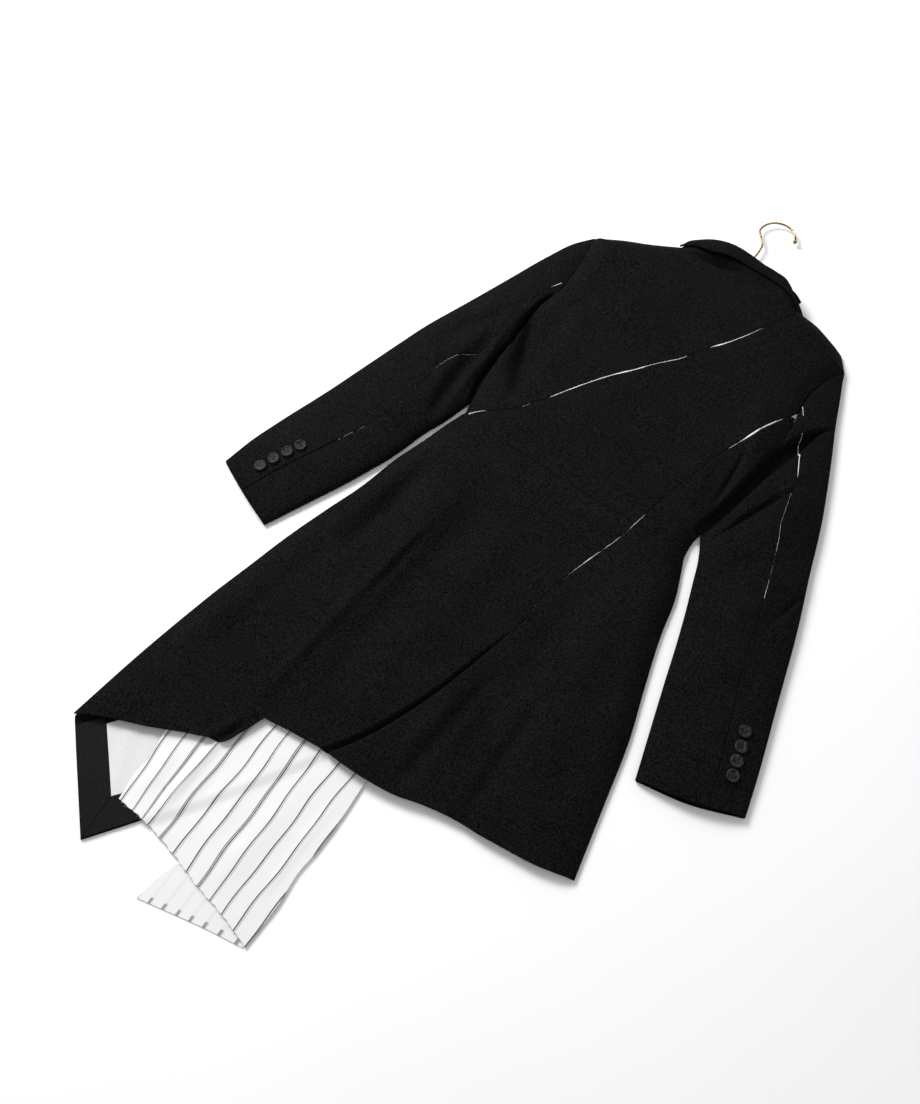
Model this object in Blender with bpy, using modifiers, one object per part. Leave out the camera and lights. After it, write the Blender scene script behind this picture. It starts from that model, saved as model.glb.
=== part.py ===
"""Long tailored jacket laid face down on its shoulder hanger.

Units in the tables are millimetres. The garment's own frame has its centre line on x = 0, the waist at
y = 150 and the neck towards +y, with z = 0 on the surface that it lies on.
Every panel is a wall of cloth: a grid worked out from the seam lines around it, lifted by one height
function for the whole body, and thickened inwards.
"""

import math
from collections import namedtuple

import bmesh
import bpy
import numpy as np
from mathutils import Vector

# Driving sizes, in millimetres
WOOL = 1.8                # wall of the black cloth
FACING = 1.6              # wall of the turned-up hem and the front facing
LINING = 1.0              # wall of the linings
SHIRTING = 1.2            # wall of the striped shirting
LAID = 0.5                # gap between the shirting and what it lies on
FRONT = 2.0               # wall of a front, cloth and canvas together
SEAM = 0.3                # gap between two pieces at a seam
ARMHOLE_GAP = 1.0         # gap where the sleeve meets the body, at the foot of a fold
WAIST_HALF = 1.0          # from the waist seam's line to the edge of the panel on either side
ROLL = 34.0               # width of the roll along the sides and the shoulders
EDGE = 3.6                # height at which a flattened sleeve folds round
FRONT_SEAM_AT = 0.86      # place of a sleeve's front seam across its underside
SLEEVE_RIBBON_CLEAR = 1.6  # gap between a sleeve's wall and the white lining behind its seam
BUTTON_R = 7.5
BUTTON_H = 2.6
WIRE_R = 1.35
BALL_R = 2.9
HOOK_R = 25.5
HOOK_CENTRE = (4.5, 664.0)
HOOK_Z = 7.3
BAR = 10.0                # thickness of the hanger bar
BUTTON_CLEAR = 0.7        # height of a button's back over the cloth, for its thread
COLLAR_LOW = 6.0          # height of the collar's crease at its ends
COLLAR_RISE = 25.0        # how much higher it stands at the nape
COLLAR_CLEAR = 1.7        # gap between the fall and the back under it
STAND_CLEAR = 0.7         # gap between the stand's top and the fall over it
CENTRE = (16.6, 81.9)     # middle of the whole part in the garment's own frame
MM = 0.001

Station = namedtuple("Station", "x y")
Opening = namedtuple("Opening", "x y gap")
Level = namedtuple("Level", "y height")
Fold = namedtuple("Fold", "x0 y0 x1 y1 width height")
Ring = namedtuple("Ring", "at height seam")


def stations(*rows):
    """Rows of x, y."""
    return [Station(*row) for row in rows]


# Outline of the body, x and y of each station
LEFT_SHOULDER = stations((-93, 567), (-129, 546.5), (-166.5, 528), (-198, 508))
RIGHT_SHOULDER = stations((103, 564), (117, 562), (151.5, 549), (174.5, 536), (193, 513.5))
NECKLINE = stations((-93, 567), (-52, 577), (-4, 581), (52, 577), (103, 564))
LEFT_ARMHOLE = stations((-198, 508), (-189.5, 472), (-184, 435), (-182, 396), (-184, 352), (-183.5, 305),
                        (-181, 262), (-176, 212), (-168, 180))
LEFT_UNDERARM = stations((-168, 180), (-166, 171), (-164, 164.5))
RIGHT_ARMHOLE_TOP = stations((193, 513.5), (181, 480), (175, 442), (178, 412))
RIGHT_ARMHOLE_LOW = stations((178, 412), (184, 368), (188, 318), (183, 258), (170, 194))
RIGHT_UNDERARM = stations((170, 194), (168.5, 182), (169, 171))
LEFT_SIDE = stations((-164.5, 160), (-168.5, 147), (-173, 130), (-179, 102), (-191, 53), (-199, 0),
                     (-212, -52), (-224, -104), (-241, -207), (-257, -331), (-265, -426))
RIGHT_SIDE = stations((169, 169), (172, 153), (177, 141), (193, 100), (204, 53.5), (225, -15), (245, -76),
                      (263, -152), (283, -238))
LEFT_HEM = stations((-265, -426), (-232, -408), (-186, -387), (-148, -367), (-127, -357.5), (-107, -348.5),
                    (-102, -336), (-105, -324), (-106.5, -307), (-81, -300.5), (-46, -294.5), (-13, -290))
RIGHT_HEM = stations((-13, -290), (11, -290), (54, -286.5), (80, -281.5), (106, -273), (152, -263),
                     (177, -261), (201, -257.5), (242, -251), (283, -238))
WAIST = stations((-164.5, 162), (-150, 157), (-140, 155.5), (-107, 152), (-60, 150.5), (0, 149.5),
                 (60, 149.8), (98, 151.5), (118, 153), (138, 158), (154, 165), (169, 170))

# Opened seams of the back: x, y and how far the edges stand apart
DIAGONAL_SLIT = [Opening(*row) for row in (
    (-150, 159.75, 0.5), (-131, 178, 0.8), (-111, 199, 0.6), (-92, 227, 1.2), (-69, 268, 1.8),
    (-40, 315, 1.8), (-17, 345, 1.4), (-3, 366, 1.4), (18, 392, 0.6), (33, 421, 2.0), (49, 445, 2.6),
    (65, 474, 1.8), (79, 505, 0.8), (91, 533, 1.5), (98, 552, 0.8), (103, 564, 0.5))]
SIDE_BACK_SLIT = [Opening(*row) for row in (
    (178, 412, 0.6), (172, 396, 0.8), (165, 382, 1.6), (155, 357, 4.0), (147, 335, 4.4), (139, 315, 3.0),
    (131, 294, 1.0), (124, 261, 0.5), (115, 222, 0.5), (105, 174, 0.5), (102, 152.8, 1.2))]
SKIRT_SLIT = [Opening(*row) for row in (
    (102, 150.8, 1.2), (97, 123, 1.8), (85, 77, 2.2), (73, 25, 1.8), (69, -8, 0.5), (70, -27, 0.5),
    (60, -83, 0.5), (39, -172, 0.5), (12, -247, 0.5), (-13, -290, 0.5))]

# White lining behind the opened seams: where it starts and ends along the seam, and its gap to the wall
Ribbon = namedtuple("Ribbon", "name openings start end clear")
RIBBONS = (
    Ribbon("lining_diagonal", DIAGONAL_SLIT, 0.09, 0.92, 1.4),
    Ribbon("lining_side_back", SIDE_BACK_SLIT, 0.14, 0.64, 2.1),
    Ribbon("lining_skirt", SKIRT_SLIT, 0.04, 0.46, 0.45))

# Height that the back stands above its edges: y along the garment, height
BODY_CROWN = [Level(*row) for row in (
    (-430, 5.5), (-300, 7.0), (-230, 9.0), (-120, 12.0), (0, 14.0), (155, 14.0), (300, 18.0),
    (420, 20.0), (520, 21.0), (600, 22.0))]

# Largest folds of the back, along a line, ridge above zero and trough below
BODY_FOLDS = [Fold(*row) for row in (
    (-98, 110, -106, -290, 26, 5.0),
    (-150, 40, -112, -150, 22, -3.5),
    (-60, 130, -62, -40, 24, -3.5),
    (0, 120, -20, -230, 34, 3.0),
    (140, 120, 190, -220, 36, 3.5),
    (100, 60, 110, -250, 24, -3.0),
    (-196, -60, -222, -380, 20, 2.5),
    (-178, 360, -138, 180, 13, -4.5),
    (-120, 400, -112, 230, 22, 2.5),
    (150, 330, 160, 190, 18, -4.5),
    (120, 420, 176, 300, 16, 4.0),
    (20, 540, 90, 520, 14, 2.0))]

# Sleeves: outlines seen from above
LEFT_SLEEVE_OUTER = stations((-198, 508), (-215.5, 481), (-230, 441), (-246.5, 385), (-270, 306),
                             (-290.5, 239), (-300, 197), (-309, 155), (-325, 81), (-344, 6), (-353, -35),
                             (-358, -78))
LEFT_SLEEVE_INNER = stations((-168, 180), (-170.5, 167), (-174, 149), (-178, 132), (-183, 117), (-188, 97),
                             (-192, 75), (-198, 49), (-206, 24), (-216, -6), (-235.5, -56), (-259, -116))
LEFT_CUFF = stations((-358, -78), (-311, -97.5), (-259, -116))
RIGHT_SLEEVE_OUTER = stations((193, 513.5), (199.5, 495), (206.5, 478), (221, 440), (250, 371), (281.5, 290),
                              (302.5, 225), (325.5, 157), (355, 56), (381, -34), (391, -73))
RIGHT_SLEEVE_INNER = stations((170, 194), (186.5, 162), (198, 130.5), (209.5, 98.5), (224, 54.5), (238, 8),
                              (260, -63), (274.5, -109.5))
RIGHT_CUFF = stations((391, -73), (335.5, -96), (274.5, -109.5))

# Sleeve stations: share of the length, height of the loop, place of the back seam across it
LEFT_RINGS = [Ring(*row) for row in (
    (0.0, 10.0, 0.27), (0.05, 15.0, 0.43), (0.12, 21.0, 0.60), (0.2, 23.0, 0.64), (0.28, 23.0, 0.60),
    (0.4, 22.0, 0.64), (0.49, 21.0, 0.70), (0.6, 20.0, 0.665), (0.72, 18.5, 0.615), (0.82, 17.0, 0.575),
    (1.0, 13.0, 0.51))]
RIGHT_RINGS = [Ring(*row) for row in (
    (0.0, 10.0, 0.275), (0.08, 20.0, 0.27), (0.2, 25.0, 0.26), (0.3, 24.0, 0.35), (0.45, 22.5, 0.345),
    (0.55, 21.5, 0.375), (0.7, 19.5, 0.395), (0.8, 18.0, 0.36), (1.0, 14.0, 0.345))]
LEFT_SLEEVE_FOLDS = [Fold(*row) for row in (
    (-250, 330, -215, 250, 14, 3.5), (-262, 250, -214, 190, 12, -3.5), (-285, 120, -215, 90, 16, 2.5),
    (-300, 60, -240, 20, 14, -2.0))]
RIGHT_SLEEVE_FOLDS = [Fold(*row) for row in (
    (218, 415, 192, 290, 13, -4.5), (230, 306, 188, 196, 10, -2.5), (250, 330, 235, 200, 16, 3.5),
    (262, 210, 215, 160, 12, -3.5), (300, 150, 240, 120, 14, 2.5), (330, 60, 262, 20, 16, -2.0))]

# Flat width of a sleeve: share of the length, width
SLEEVE_WIDTHS = ((0.0, 330.0), (0.15, 160.0), (1.0, 112.0))

# Back seams of the sleeves: share of the length, how far the edges stand apart
LEFT_SEAM_GAP = ((0.0, 0.3), (0.05, 0.8), (0.3, 1.4), (0.55, 1.2), (0.7, 0.3), (1.0, 0.3))
RIGHT_SEAM_GAP = ((0.0, 0.3), (0.1, 1.2), (0.3, 1.4), (0.5, 1.2), (0.6, 0.3), (1.0, 0.3))

# Buttons on each cuff, x and y
LEFT_BUTTONS = stations((-313, -60), (-306, -43), (-299, -26), (-292, -9))
RIGHT_BUTTONS = stations((341, 5), (346, -12), (351, -29), (356, -46))

# Fronts: centre-front edges, from the neck down
LEFT_FRONT_EDGE = stations((-90, 564), (-30, 380), (30, 250), (52, 180), (52, 20), (30, -130), (-5, -260),
                           (-60, -366), (-122, -466), (-158, -520))
RIGHT_FRONT_EDGE = stations((96, 560), (40, 380), (-30, 250), (-50, 180), (-50, -40), (-20, -140), (20, -210),
                            (80, -262))
TAIL_EDGE = stations((-262, -424), (-260, -431), (-236, -452), (-190, -492), (-158, -520))
FACING_WIDTH = 35.0
LAP_BEFORE = 105.0        # how far before the right front's edge the left front starts to rise over it
LAP_RUN = 60.0            # how far that rise takes
TAIL_CORNER = Station(-158, -520)
TURNUP_LENGTH = 128.0
FACING_LENGTH = 96.0
TAIL_LINING = (84.0, 60.0)  # lining patch, along the hem and along the front edge
TAIL_CLEAR = 1.2          # how far the facings stay inside the front's edges

# Collar: crease, free edge of the fall, and seam of the stand
COLLAR_CREASE = stations((-94, 565), (-88, 570.5), (-73, 574.5), (-55, 585.5), (-36, 592.5), (-16, 593.5),
                         (2, 591), (22, 588), (41, 587), (57, 585), (68, 578), (78, 570), (87, 564.5),
                         (97, 562))
COLLAR_EDGE = stations((-91, 560), (-75, 562), (-58, 562), (-43, 563), (-31, 567), (-13, 572), (11, 573),
                       (33, 572), (54, 570), (67, 567), (79, 562), (88, 558), (96, 555))
COLLAR_NECK = stations((-89, 571.5), (-52, 580.5), (-4, 584.5), (52, 580.5), (98, 570))

# Hanger: upper and lower edge of the bar, and the stem of the hook
BAR_UPPER = stations((-164, 492), (-130, 514), (-80, 540), (-36, 560), (-12, 572), (8, 572), (34, 560),
                     (80, 540), (130, 514), (164, 492))
BAR_LOWER = stations((-160, 474), (-130, 490), (-80, 512), (-36, 528), (-12, 534), (8, 534), (34, 528),
                     (80, 512), (130, 490), (160, 474))
HOOK_STEM = stations((-2, 573.4), (-2, 600), (-2, 628), (-4, 638), (-12, 648))

# Striped shirting: side edges from the hem of the back down
STRIPED_LEFT = stations((-190, -240), (-176, -340), (-170, -381), (-162, -409), (-163, -430), (-156, -464))
STRIPED_RIGHT = stations((40, -240), (43, -288), (48, -336), (50, -380), (49, -404), (54, -444), (55, -495))
STRIPED_RAW = stations((-156, -464), (-112, -465), (-70, -471), (-26, -480), (14, -486), (55, -495))
UNDERLAYER_LEFT = stations((-15, -310), (-50, -400), (-58, -470), (-65, -496), (-68, -527))
UNDERLAYER_RIGHT = stations((42, -310), (46, -340), (48, -380), (50, -444), (53, -497))
UNDERLAYER_HEM = stations((-68, -527), (-31, -517), (7, -507), (53, -497))
STRIPED_FOLDS = [Fold(*row) for row in (
    (-116, -300, -113, -464, 7, 3.0), (-8, -320, -12, -478, 14, 1.6), (-146, -380, -140, -450, 8, 1.5))]


def xy(rows):
    """The x and y of a table as an array."""
    return np.array([(row[0], row[1]) for row in rows], float)


def smooth(values, count):
    """Resamples rows along their chord length by a cubic through each of them."""
    values = np.asarray(values, float)
    steps = np.linalg.norm(np.diff(values[:, :2], axis=0), axis=1)
    chord = np.concatenate(([0.0], np.cumsum(steps)))
    slope = np.gradient(values, chord, axis=0)
    at = np.linspace(0.0, chord[-1], count) if np.isscalar(count) else np.asarray(count) * chord[-1]
    cell = np.clip(np.searchsorted(chord, at, side="right") - 1, 0, len(chord) - 2)
    width = (chord[cell + 1] - chord[cell])[:, None]
    t = (at - chord[cell])[:, None] / width
    start, end = values[cell], values[cell + 1]
    leave, arrive = slope[cell] * width, slope[cell + 1] * width
    return ((2 * t**3 - 3 * t**2 + 1) * start + (t**3 - 2 * t**2 + t) * leave
            + (3 * t**2 - 2 * t**3) * end + (t**3 - t**2) * arrive)


def along(line, shares):
    """Points at given shares of a polyline's length."""
    steps = np.linalg.norm(np.diff(line, axis=0), axis=1)
    length = np.concatenate(([0.0], np.cumsum(steps)))
    wanted = np.asarray(shares) * length[-1]
    return np.column_stack([np.interp(wanted, length, line[:, axis]) for axis in range(line.shape[1])])


def distance(x, y, line):
    """Shortest distance from each point to a polyline."""
    start, end = line[:-1], line[1:]
    run = end - start
    gap_x = x[..., None] - start[:, 0]
    gap_y = y[..., None] - start[:, 1]
    share = np.clip((gap_x * run[:, 0] + gap_y * run[:, 1]) / (run**2).sum(axis=1), 0.0, 1.0)
    return np.hypot(gap_x - share * run[:, 0], gap_y - share * run[:, 1]).min(axis=-1)


def ease(value):
    """Smooth step from 0 to 1."""
    value = np.clip(value, 0.0, 1.0)
    return value * value * (3.0 - 2.0 * value)


def folds_at(x, y, folds):
    """Sum of the ridges and troughs, each a rounded bar that fades out at its ends."""
    total = np.zeros_like(x)
    for fold in folds:
        run_x, run_y = fold.x1 - fold.x0, fold.y1 - fold.y0
        length = math.hypot(run_x, run_y)
        forward = ((x - fold.x0) * run_x + (y - fold.y0) * run_y) / length
        aside = ((x - fold.x0) * run_y - (y - fold.y0) * run_x) / length
        fade = ease(forward / (0.35 * length)) * ease((length - forward) / (0.35 * length))
        total += fold.height * fade * np.exp(-(aside / fold.width) ** 2)
    return total


# Sampled seam lines, shared by the pieces on both sides
LEFT_ARMHOLE_LINE = smooth(xy(LEFT_ARMHOLE), 14)
LEFT_BODY_LINE = np.vstack((LEFT_ARMHOLE_LINE, xy(LEFT_UNDERARM)[1:]))
RIGHT_TOP_LINE = smooth(xy(RIGHT_ARMHOLE_TOP), 6)
RIGHT_LOW_LINE = smooth(xy(RIGHT_ARMHOLE_LOW), 9)
RIGHT_ARMHOLE_LINE = np.vstack((RIGHT_TOP_LINE, RIGHT_LOW_LINE[1:]))
CLOSED_LEFT = np.vstack((smooth(xy(LEFT_SHOULDER), 7), LEFT_BODY_LINE[1:], smooth(xy(LEFT_SIDE), 21)))
CLOSED_RIGHT = np.vstack((smooth(xy(RIGHT_SHOULDER), 7), RIGHT_ARMHOLE_LINE[1:], xy(RIGHT_UNDERARM)[1:],
                          smooth(xy(RIGHT_SIDE), 15)))
BACK_HEM = np.vstack((smooth(xy(LEFT_HEM), 25), smooth(xy(RIGHT_HEM), 14)[1:]))


def waist_row(x, above):
    """The waist seam at places across, moved up or down by its own half gap."""
    seam = xy(WAIST)
    return np.column_stack((x, np.interp(x, seam[:, 0], seam[:, 1]) + above))


def layers_below(x, y):
    """Height of what the back lies on: the fronts, and the facing, lining and shirting near the tail."""
    tail = ease((-150.0 - y) / 80.0) * ease((110.0 - x) / 60.0)
    return FRONT + SEAM + 3.4 * tail


def body_top(x, y):
    """Height of the outside of the back.

    Edge height plus the crown, which rolls up from the sides, armholes and shoulders over ROLL as
    1 - (1 - s)^2.2, sinks a little towards the free hem, and carries the folds.
    """
    to_side = np.minimum(distance(x, y, CLOSED_LEFT), distance(x, y, CLOSED_RIGHT))
    rolled = 1.0 - (1.0 - np.clip(to_side / ROLL, 0.0, 1.0)) ** 2.2
    levels = sorted(BODY_CROWN)
    crown = np.interp(y, [level.y for level in levels], [level.height for level in levels])
    hem = 0.8 + 0.2 * ease(distance(x, y, BACK_HEM) / 90.0)
    armhole = 5.0 * ease((y - 170.0) / 40.0) * ease((500.0 - y) / 50.0)
    return (layers_below(x, y) + WOOL + armhole * (1.0 - 0.5 * rolled)
            + rolled * (crown * hem + folds_at(x, y, BODY_FOLDS)))


def coons(bottom, top, left, right):
    """Grid between four edges: the two ruled surfaces added, less the bilinear one.

    bottom and top run with u, left and right run with v, and the result is indexed [v, u].
    """
    u = np.concatenate(([0.0], np.cumsum(np.linalg.norm(np.diff(bottom, axis=0), axis=1))))
    v = np.concatenate(([0.0], np.cumsum(np.linalg.norm(np.diff(left, axis=0), axis=1))))
    u, v = (u / u[-1])[None, :, None], (v / v[-1])[:, None, None]
    ruled_v = (1 - v) * bottom[None] + v * top[None]
    ruled_u = (1 - u) * left[:, None] + u * right[:, None]
    corners = ((1 - u) * (1 - v) * bottom[0] + u * (1 - v) * bottom[-1]
               + (1 - u) * v * top[0] + u * v * top[-1])
    return ruled_v + ruled_u - corners


def drawn_in(grid, bottom=SEAM, top=SEAM, left=SEAM, right=SEAM):
    """Moves each edge of a plan grid inwards by half of the gap at that seam."""
    moved = grid.copy()
    sides = ((bottom, np.s_[0, :], np.s_[1, :]), (top, np.s_[-1, :], np.s_[-2, :]),
             (left, np.s_[:, 0], np.s_[:, 1]), (right, np.s_[:, -1], np.s_[:, -2]))
    for gap, edge, inner in sides:
        line, inside = grid[edge], grid[inner]
        run = np.gradient(line, axis=0)
        run /= np.linalg.norm(run, axis=1, keepdims=True) + 1e-9
        inward = inside - line
        inward -= (inward * run).sum(axis=1, keepdims=True) * run
        inward /= np.linalg.norm(inward, axis=1, keepdims=True) + 1e-9
        moved[edge] += inward * np.broadcast_to(np.asarray(gap, float) / 2, len(line))[:, None]
    return moved


def on_body(plan):
    """A plan grid lifted to the outside of the back."""
    height = body_top(plan[..., 0], plan[..., 1])
    return np.dstack((plan, height))


def normals_of(points):
    """Unit normals of a grid, turned upwards on the whole."""
    across = np.cross(np.gradient(points, axis=1), np.gradient(points, axis=0))
    across /= np.linalg.norm(across, axis=-1, keepdims=True) + 1e-9
    return across if across[..., 2].sum() > 0 else -across


def metres(points):
    """Garment millimetres to the part's metres."""
    shifted = np.asarray(points, float).copy()
    shifted[..., 0] -= CENTRE[0]
    shifted[..., 1] -= CENTRE[1]
    return shifted * MM


def finish_object(name, mesh, material):
    """Links an object for the mesh with its material."""
    mesh.materials.append(material)
    piece = bpy.data.objects.new(name, mesh)
    PARTS.objects.link(piece)
    return piece


def grid_faces(rows, columns, first=0):
    """Quads of a grid of points counted row by row."""
    index = first + np.arange(rows * columns).reshape(rows, columns)
    return np.stack((index[:-1, :-1], index[:-1, 1:], index[1:, 1:], index[1:, :-1]), axis=-1).reshape(-1, 4)


def wall_between(name, outer, inner, material):
    """A closed wall of cloth between its outer and its inner face, both grids of the same size."""
    rows, columns = outer.shape[:2]
    count = rows * columns
    index = np.arange(count).reshape(rows, columns)
    rim = np.concatenate((index[0, :], index[1:, -1], index[-1, -2::-1], index[-2:0:-1, 0]))
    ahead = np.roll(rim, -1)
    rim_faces = np.stack((rim, ahead, ahead + count, rim + count), axis=-1)
    faces = np.vstack((grid_faces(rows, columns), grid_faces(rows, columns, count), rim_faces))
    mesh = bpy.data.meshes.new(name)
    points = np.vstack((outer.reshape(-1, 3), inner.reshape(-1, 3)))
    mesh.from_pydata(metres(points).tolist(), [], faces.tolist())
    shell = bmesh.new()
    shell.from_mesh(mesh)
    bmesh.ops.recalc_face_normals(shell, faces=shell.faces)
    shell.to_mesh(mesh)
    shell.free()
    mesh.shade_smooth()
    mesh.set_sharp_from_angle(angle=math.radians(50))
    return finish_object(name, mesh, material)


def lowered(points, thickness):
    """The inner face of a lying panel, straight below its outer face."""
    return points - np.array((0.0, 0.0, thickness))


def sheet(name, points, thickness, material):
    """A loose sheet, thickened downwards from its upper face."""
    quads = grid_faces(*points.shape[:2])
    if np.cross(np.gradient(points, axis=1), np.gradient(points, axis=0))[..., 2].sum() < 0:
        quads = quads[:, ::-1]
    mesh = bpy.data.meshes.new(name)
    mesh.from_pydata(metres(points).reshape(-1, 3).tolist(), [], quads.tolist())
    mesh.shade_smooth()
    piece = finish_object(name, mesh, material)
    wall = piece.modifiers.new("wall", 'SOLIDIFY')
    wall.thickness = thickness * MM
    wall.offset = -1.0
    wall.use_even_offset = False
    return piece


def flat_piece(name, outline, low, thickness, material):
    """A flat piece cut along an outline and laid at a height."""
    curve = bpy.data.curves.new(name, 'CURVE')
    curve.dimensions = '2D'
    curve.fill_mode = 'BOTH'
    curve.extrude = thickness * MM / 2
    spline = curve.splines.new('POLY')
    points = metres(np.column_stack((outline, np.zeros(len(outline)))))
    spline.points.add(len(points) - 1)
    for point, place in zip(spline.points, points):
        point.co = (*place, 1.0)
    spline.use_cyclic_u = True
    curve.materials.append(material)
    piece = bpy.data.objects.new(name, curve)
    piece.location.z = (low + thickness / 2) * MM
    PARTS.objects.link(piece)
    return piece


def material_of(name, colour, roughness, metallic=0.0):
    """A plain Principled material."""
    material = bpy.data.materials.new(name)
    material.use_nodes = True
    shader = material.node_tree.nodes["Principled BSDF"]
    shader.inputs["Base Color"].default_value = (*colour, 1.0)
    shader.inputs["Roughness"].default_value = roughness
    shader.inputs["Metallic"].default_value = metallic
    return material


def gaps_of(openings, shares):
    """Gap of an opened seam at given shares of its length."""
    table = np.array(openings, float)
    steps = np.linalg.norm(np.diff(table[:, :2], axis=0), axis=1)
    length = np.concatenate(([0.0], np.cumsum(steps)))
    return np.interp(shares, length / length[-1], table[:, 2])


def body_panel(name, plan, material):
    """A panel of the back on its plan grid."""
    outer = on_body(plan)
    return wall_between(name, outer, lowered(outer, WOOL), material)


def build_bodice():
    """Upper left, lower right and side-back panels of the bodice."""
    wool = material_of("black wool", (0.012, 0.012, 0.013), 0.85)
    across = np.linspace(0.0, 1.0, 17) ** 1.35
    upwards = 1.0 - (1.0 - np.linspace(0.0, 1.0, 15)) ** 1.25
    diagonal = smooth(xy(DIAGONAL_SLIT), 40)
    left = along(LEFT_BODY_LINE[::-1], upwards)
    lower = np.vstack(([left[0]], along(diagonal, across)[1:]))
    shoulder = along(smooth(xy(LEFT_SHOULDER), 12)[::-1], across)
    neckline = along(smooth(xy(NECKLINE), 16)[::-1], upwards)
    plan = coons(lower, shoulder, left, neckline)
    gap = gaps_of(DIAGONAL_SLIT, across)
    plan = drawn_in(plan, bottom=gap, left=ARMHOLE_GAP)
    body_panel("back_upper_left", plan, wool)

    princess = smooth(xy(SIDE_BACK_SLIT), 12)
    right = np.vstack((RIGHT_TOP_LINE, princess[1:]))[::-1]
    over = 1.0 - (1.0 - np.linspace(0.0, 1.0, 14)) ** 1.25
    waist = waist_row(np.interp(over, (0, 1), (DIAGONAL_SLIT[0].x, SKIRT_SLIT[0].x)), WAIST_HALF)
    waist[:, 1] += np.interp(over, (0, 0.1, 1), (2.0, 0.0, 0.0))
    plan = coons(waist, along(smooth(xy(RIGHT_SHOULDER), 12), over), along(diagonal, across), right)
    gap_right = np.concatenate((gaps_of(SIDE_BACK_SLIT, np.linspace(1, 0, 12)), np.full(5, ARMHOLE_GAP)))
    plan = drawn_in(plan, left=gap, right=gap_right)
    body_panel("back_lower_right", plan, wool)

    side = along(np.vstack((RIGHT_LOW_LINE, xy(RIGHT_UNDERARM)[1:])), np.linspace(0.04, 1.0, 13))
    inner = along(princess, np.linspace(0.05, 1.0, 13))
    top = np.linspace(inner[0], side[0], 6)
    bottom = waist_row(np.linspace(inner[-1, 0], side[-1, 0], 6), WAIST_HALF)
    plan = coons(top, bottom, inner, side)
    gap = gaps_of(SIDE_BACK_SLIT, np.linspace(0.05, 1.0, 13))
    plan = drawn_in(plan, left=gap, right=ARMHOLE_GAP)
    body_panel("back_side_right", plan, wool)


def build_skirt():
    """Left and right panels of the back skirt, parted at the long seam from waist to hem."""
    wool = material_of("black wool skirt", (0.012, 0.012, 0.013), 0.85)
    down = np.linspace(0.0, 1.0, 17)
    seam = smooth(xy(SKIRT_SLIT), 40)
    gap = gaps_of(SKIRT_SLIT, down)
    across = np.linspace(0.0, 1.0, 19) ** 1.15
    waist = waist_row(np.interp(across, (0, 1), (LEFT_SIDE[0].x, SKIRT_SLIT[0].x)), -WAIST_HALF)
    plan = coons(waist, along(smooth(xy(LEFT_HEM), 60), across), along(smooth(xy(LEFT_SIDE), 30), down),
                 along(seam, down))
    body_panel("skirt_left", drawn_in(plan, right=gap), wool)

    across = 1.0 - (1.0 - np.linspace(0.0, 1.0, 12)) ** 1.25
    waist = waist_row(np.interp(across, (0, 1), (SKIRT_SLIT[0].x, RIGHT_SIDE[0].x)), -WAIST_HALF)
    plan = coons(waist, along(smooth(xy(RIGHT_HEM), 40), across), along(seam, down),
                 along(smooth(xy(RIGHT_SIDE), 30), down))
    body_panel("skirt_right", drawn_in(plan, left=gap), wool)


def build_slit_linings():
    """White lining behind the opened seams of the back: a ribbon under each, moved in from the outside."""
    white = material_of("white lining", (0.75, 0.74, 0.72), 0.8)
    for name, openings, start, end, clear in RIBBONS:
        line = smooth(xy(openings), np.linspace(start, end, 15))
        run = np.gradient(line, axis=0)
        run /= np.linalg.norm(run, axis=1, keepdims=True)
        aside = np.column_stack((-run[:, 1], run[:, 0]))
        plan = np.stack([line + aside * offset for offset in (-11.0, -4.0, 4.0, 11.0)], axis=1)
        points = on_body(plan)
        points = points - normals_of(points) * (WOOL + clear)
        sheet(name, points, LINING, white)


def loop_section(turn, width, height):
    """Place across and height of a flattened sleeve at an angle round it.

    Turn 0 is the outer fold, pi the inner fold. Across runs as (1 - cos) / 2. Above, the height grows with
    sin^0.75, and below it drops to the flat underside within a short roll.
    """
    rise = np.sin(turn)
    across = (1.0 - np.cos(turn)) / 2.0
    upper = EDGE + (height - EDGE) * np.abs(rise) ** 0.75
    lower = EDGE * np.clip(1.0 - np.abs(rise) / 0.3, 0.0, 1.0) ** 2
    return across * width, np.where(rise > 0, upper, lower)


def sleeve_plan(across, share, armhole, outer, inner, cuff):
    """Plan point of a sleeve at a share across and along it, between its four edges."""
    rows, columns = across.shape
    share = share[:, None]
    top = along(armhole, across.ravel()).reshape(rows, columns, 2)
    end = along(cuff, across.ravel()).reshape(rows, columns, 2)
    side_a = along(outer, share[:, 0])[:, None]
    side_b = along(inner, share[:, 0])[:, None]
    u, v = across[..., None], share[..., None]
    corners = ((1 - u) * (1 - v) * armhole[0] + u * (1 - v) * armhole[-1]
               + (1 - u) * v * cuff[0] + u * v * cuff[-1])
    return (1 - v) * top + v * end + (1 - u) * side_a + u * side_b - corners


def sleeve_surface(turn, share, rings, folds, edges):
    """Points of a flattened sleeve for turns round it and shares along it."""
    table = np.array(rings, float)
    height = np.interp(share, table[:, 0], table[:, 1])[:, None]
    across, level = loop_section(turn, 1.0, height)
    plan = sleeve_plan(across, share, *edges)
    fade = (np.sin(turn) > 0) * np.abs(np.sin(turn)) * ease(share / 0.1)[:, None]
    level = level + fade * folds_at(plan[..., 0], plan[..., 1], folds)
    return np.dstack((plan, level))


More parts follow.
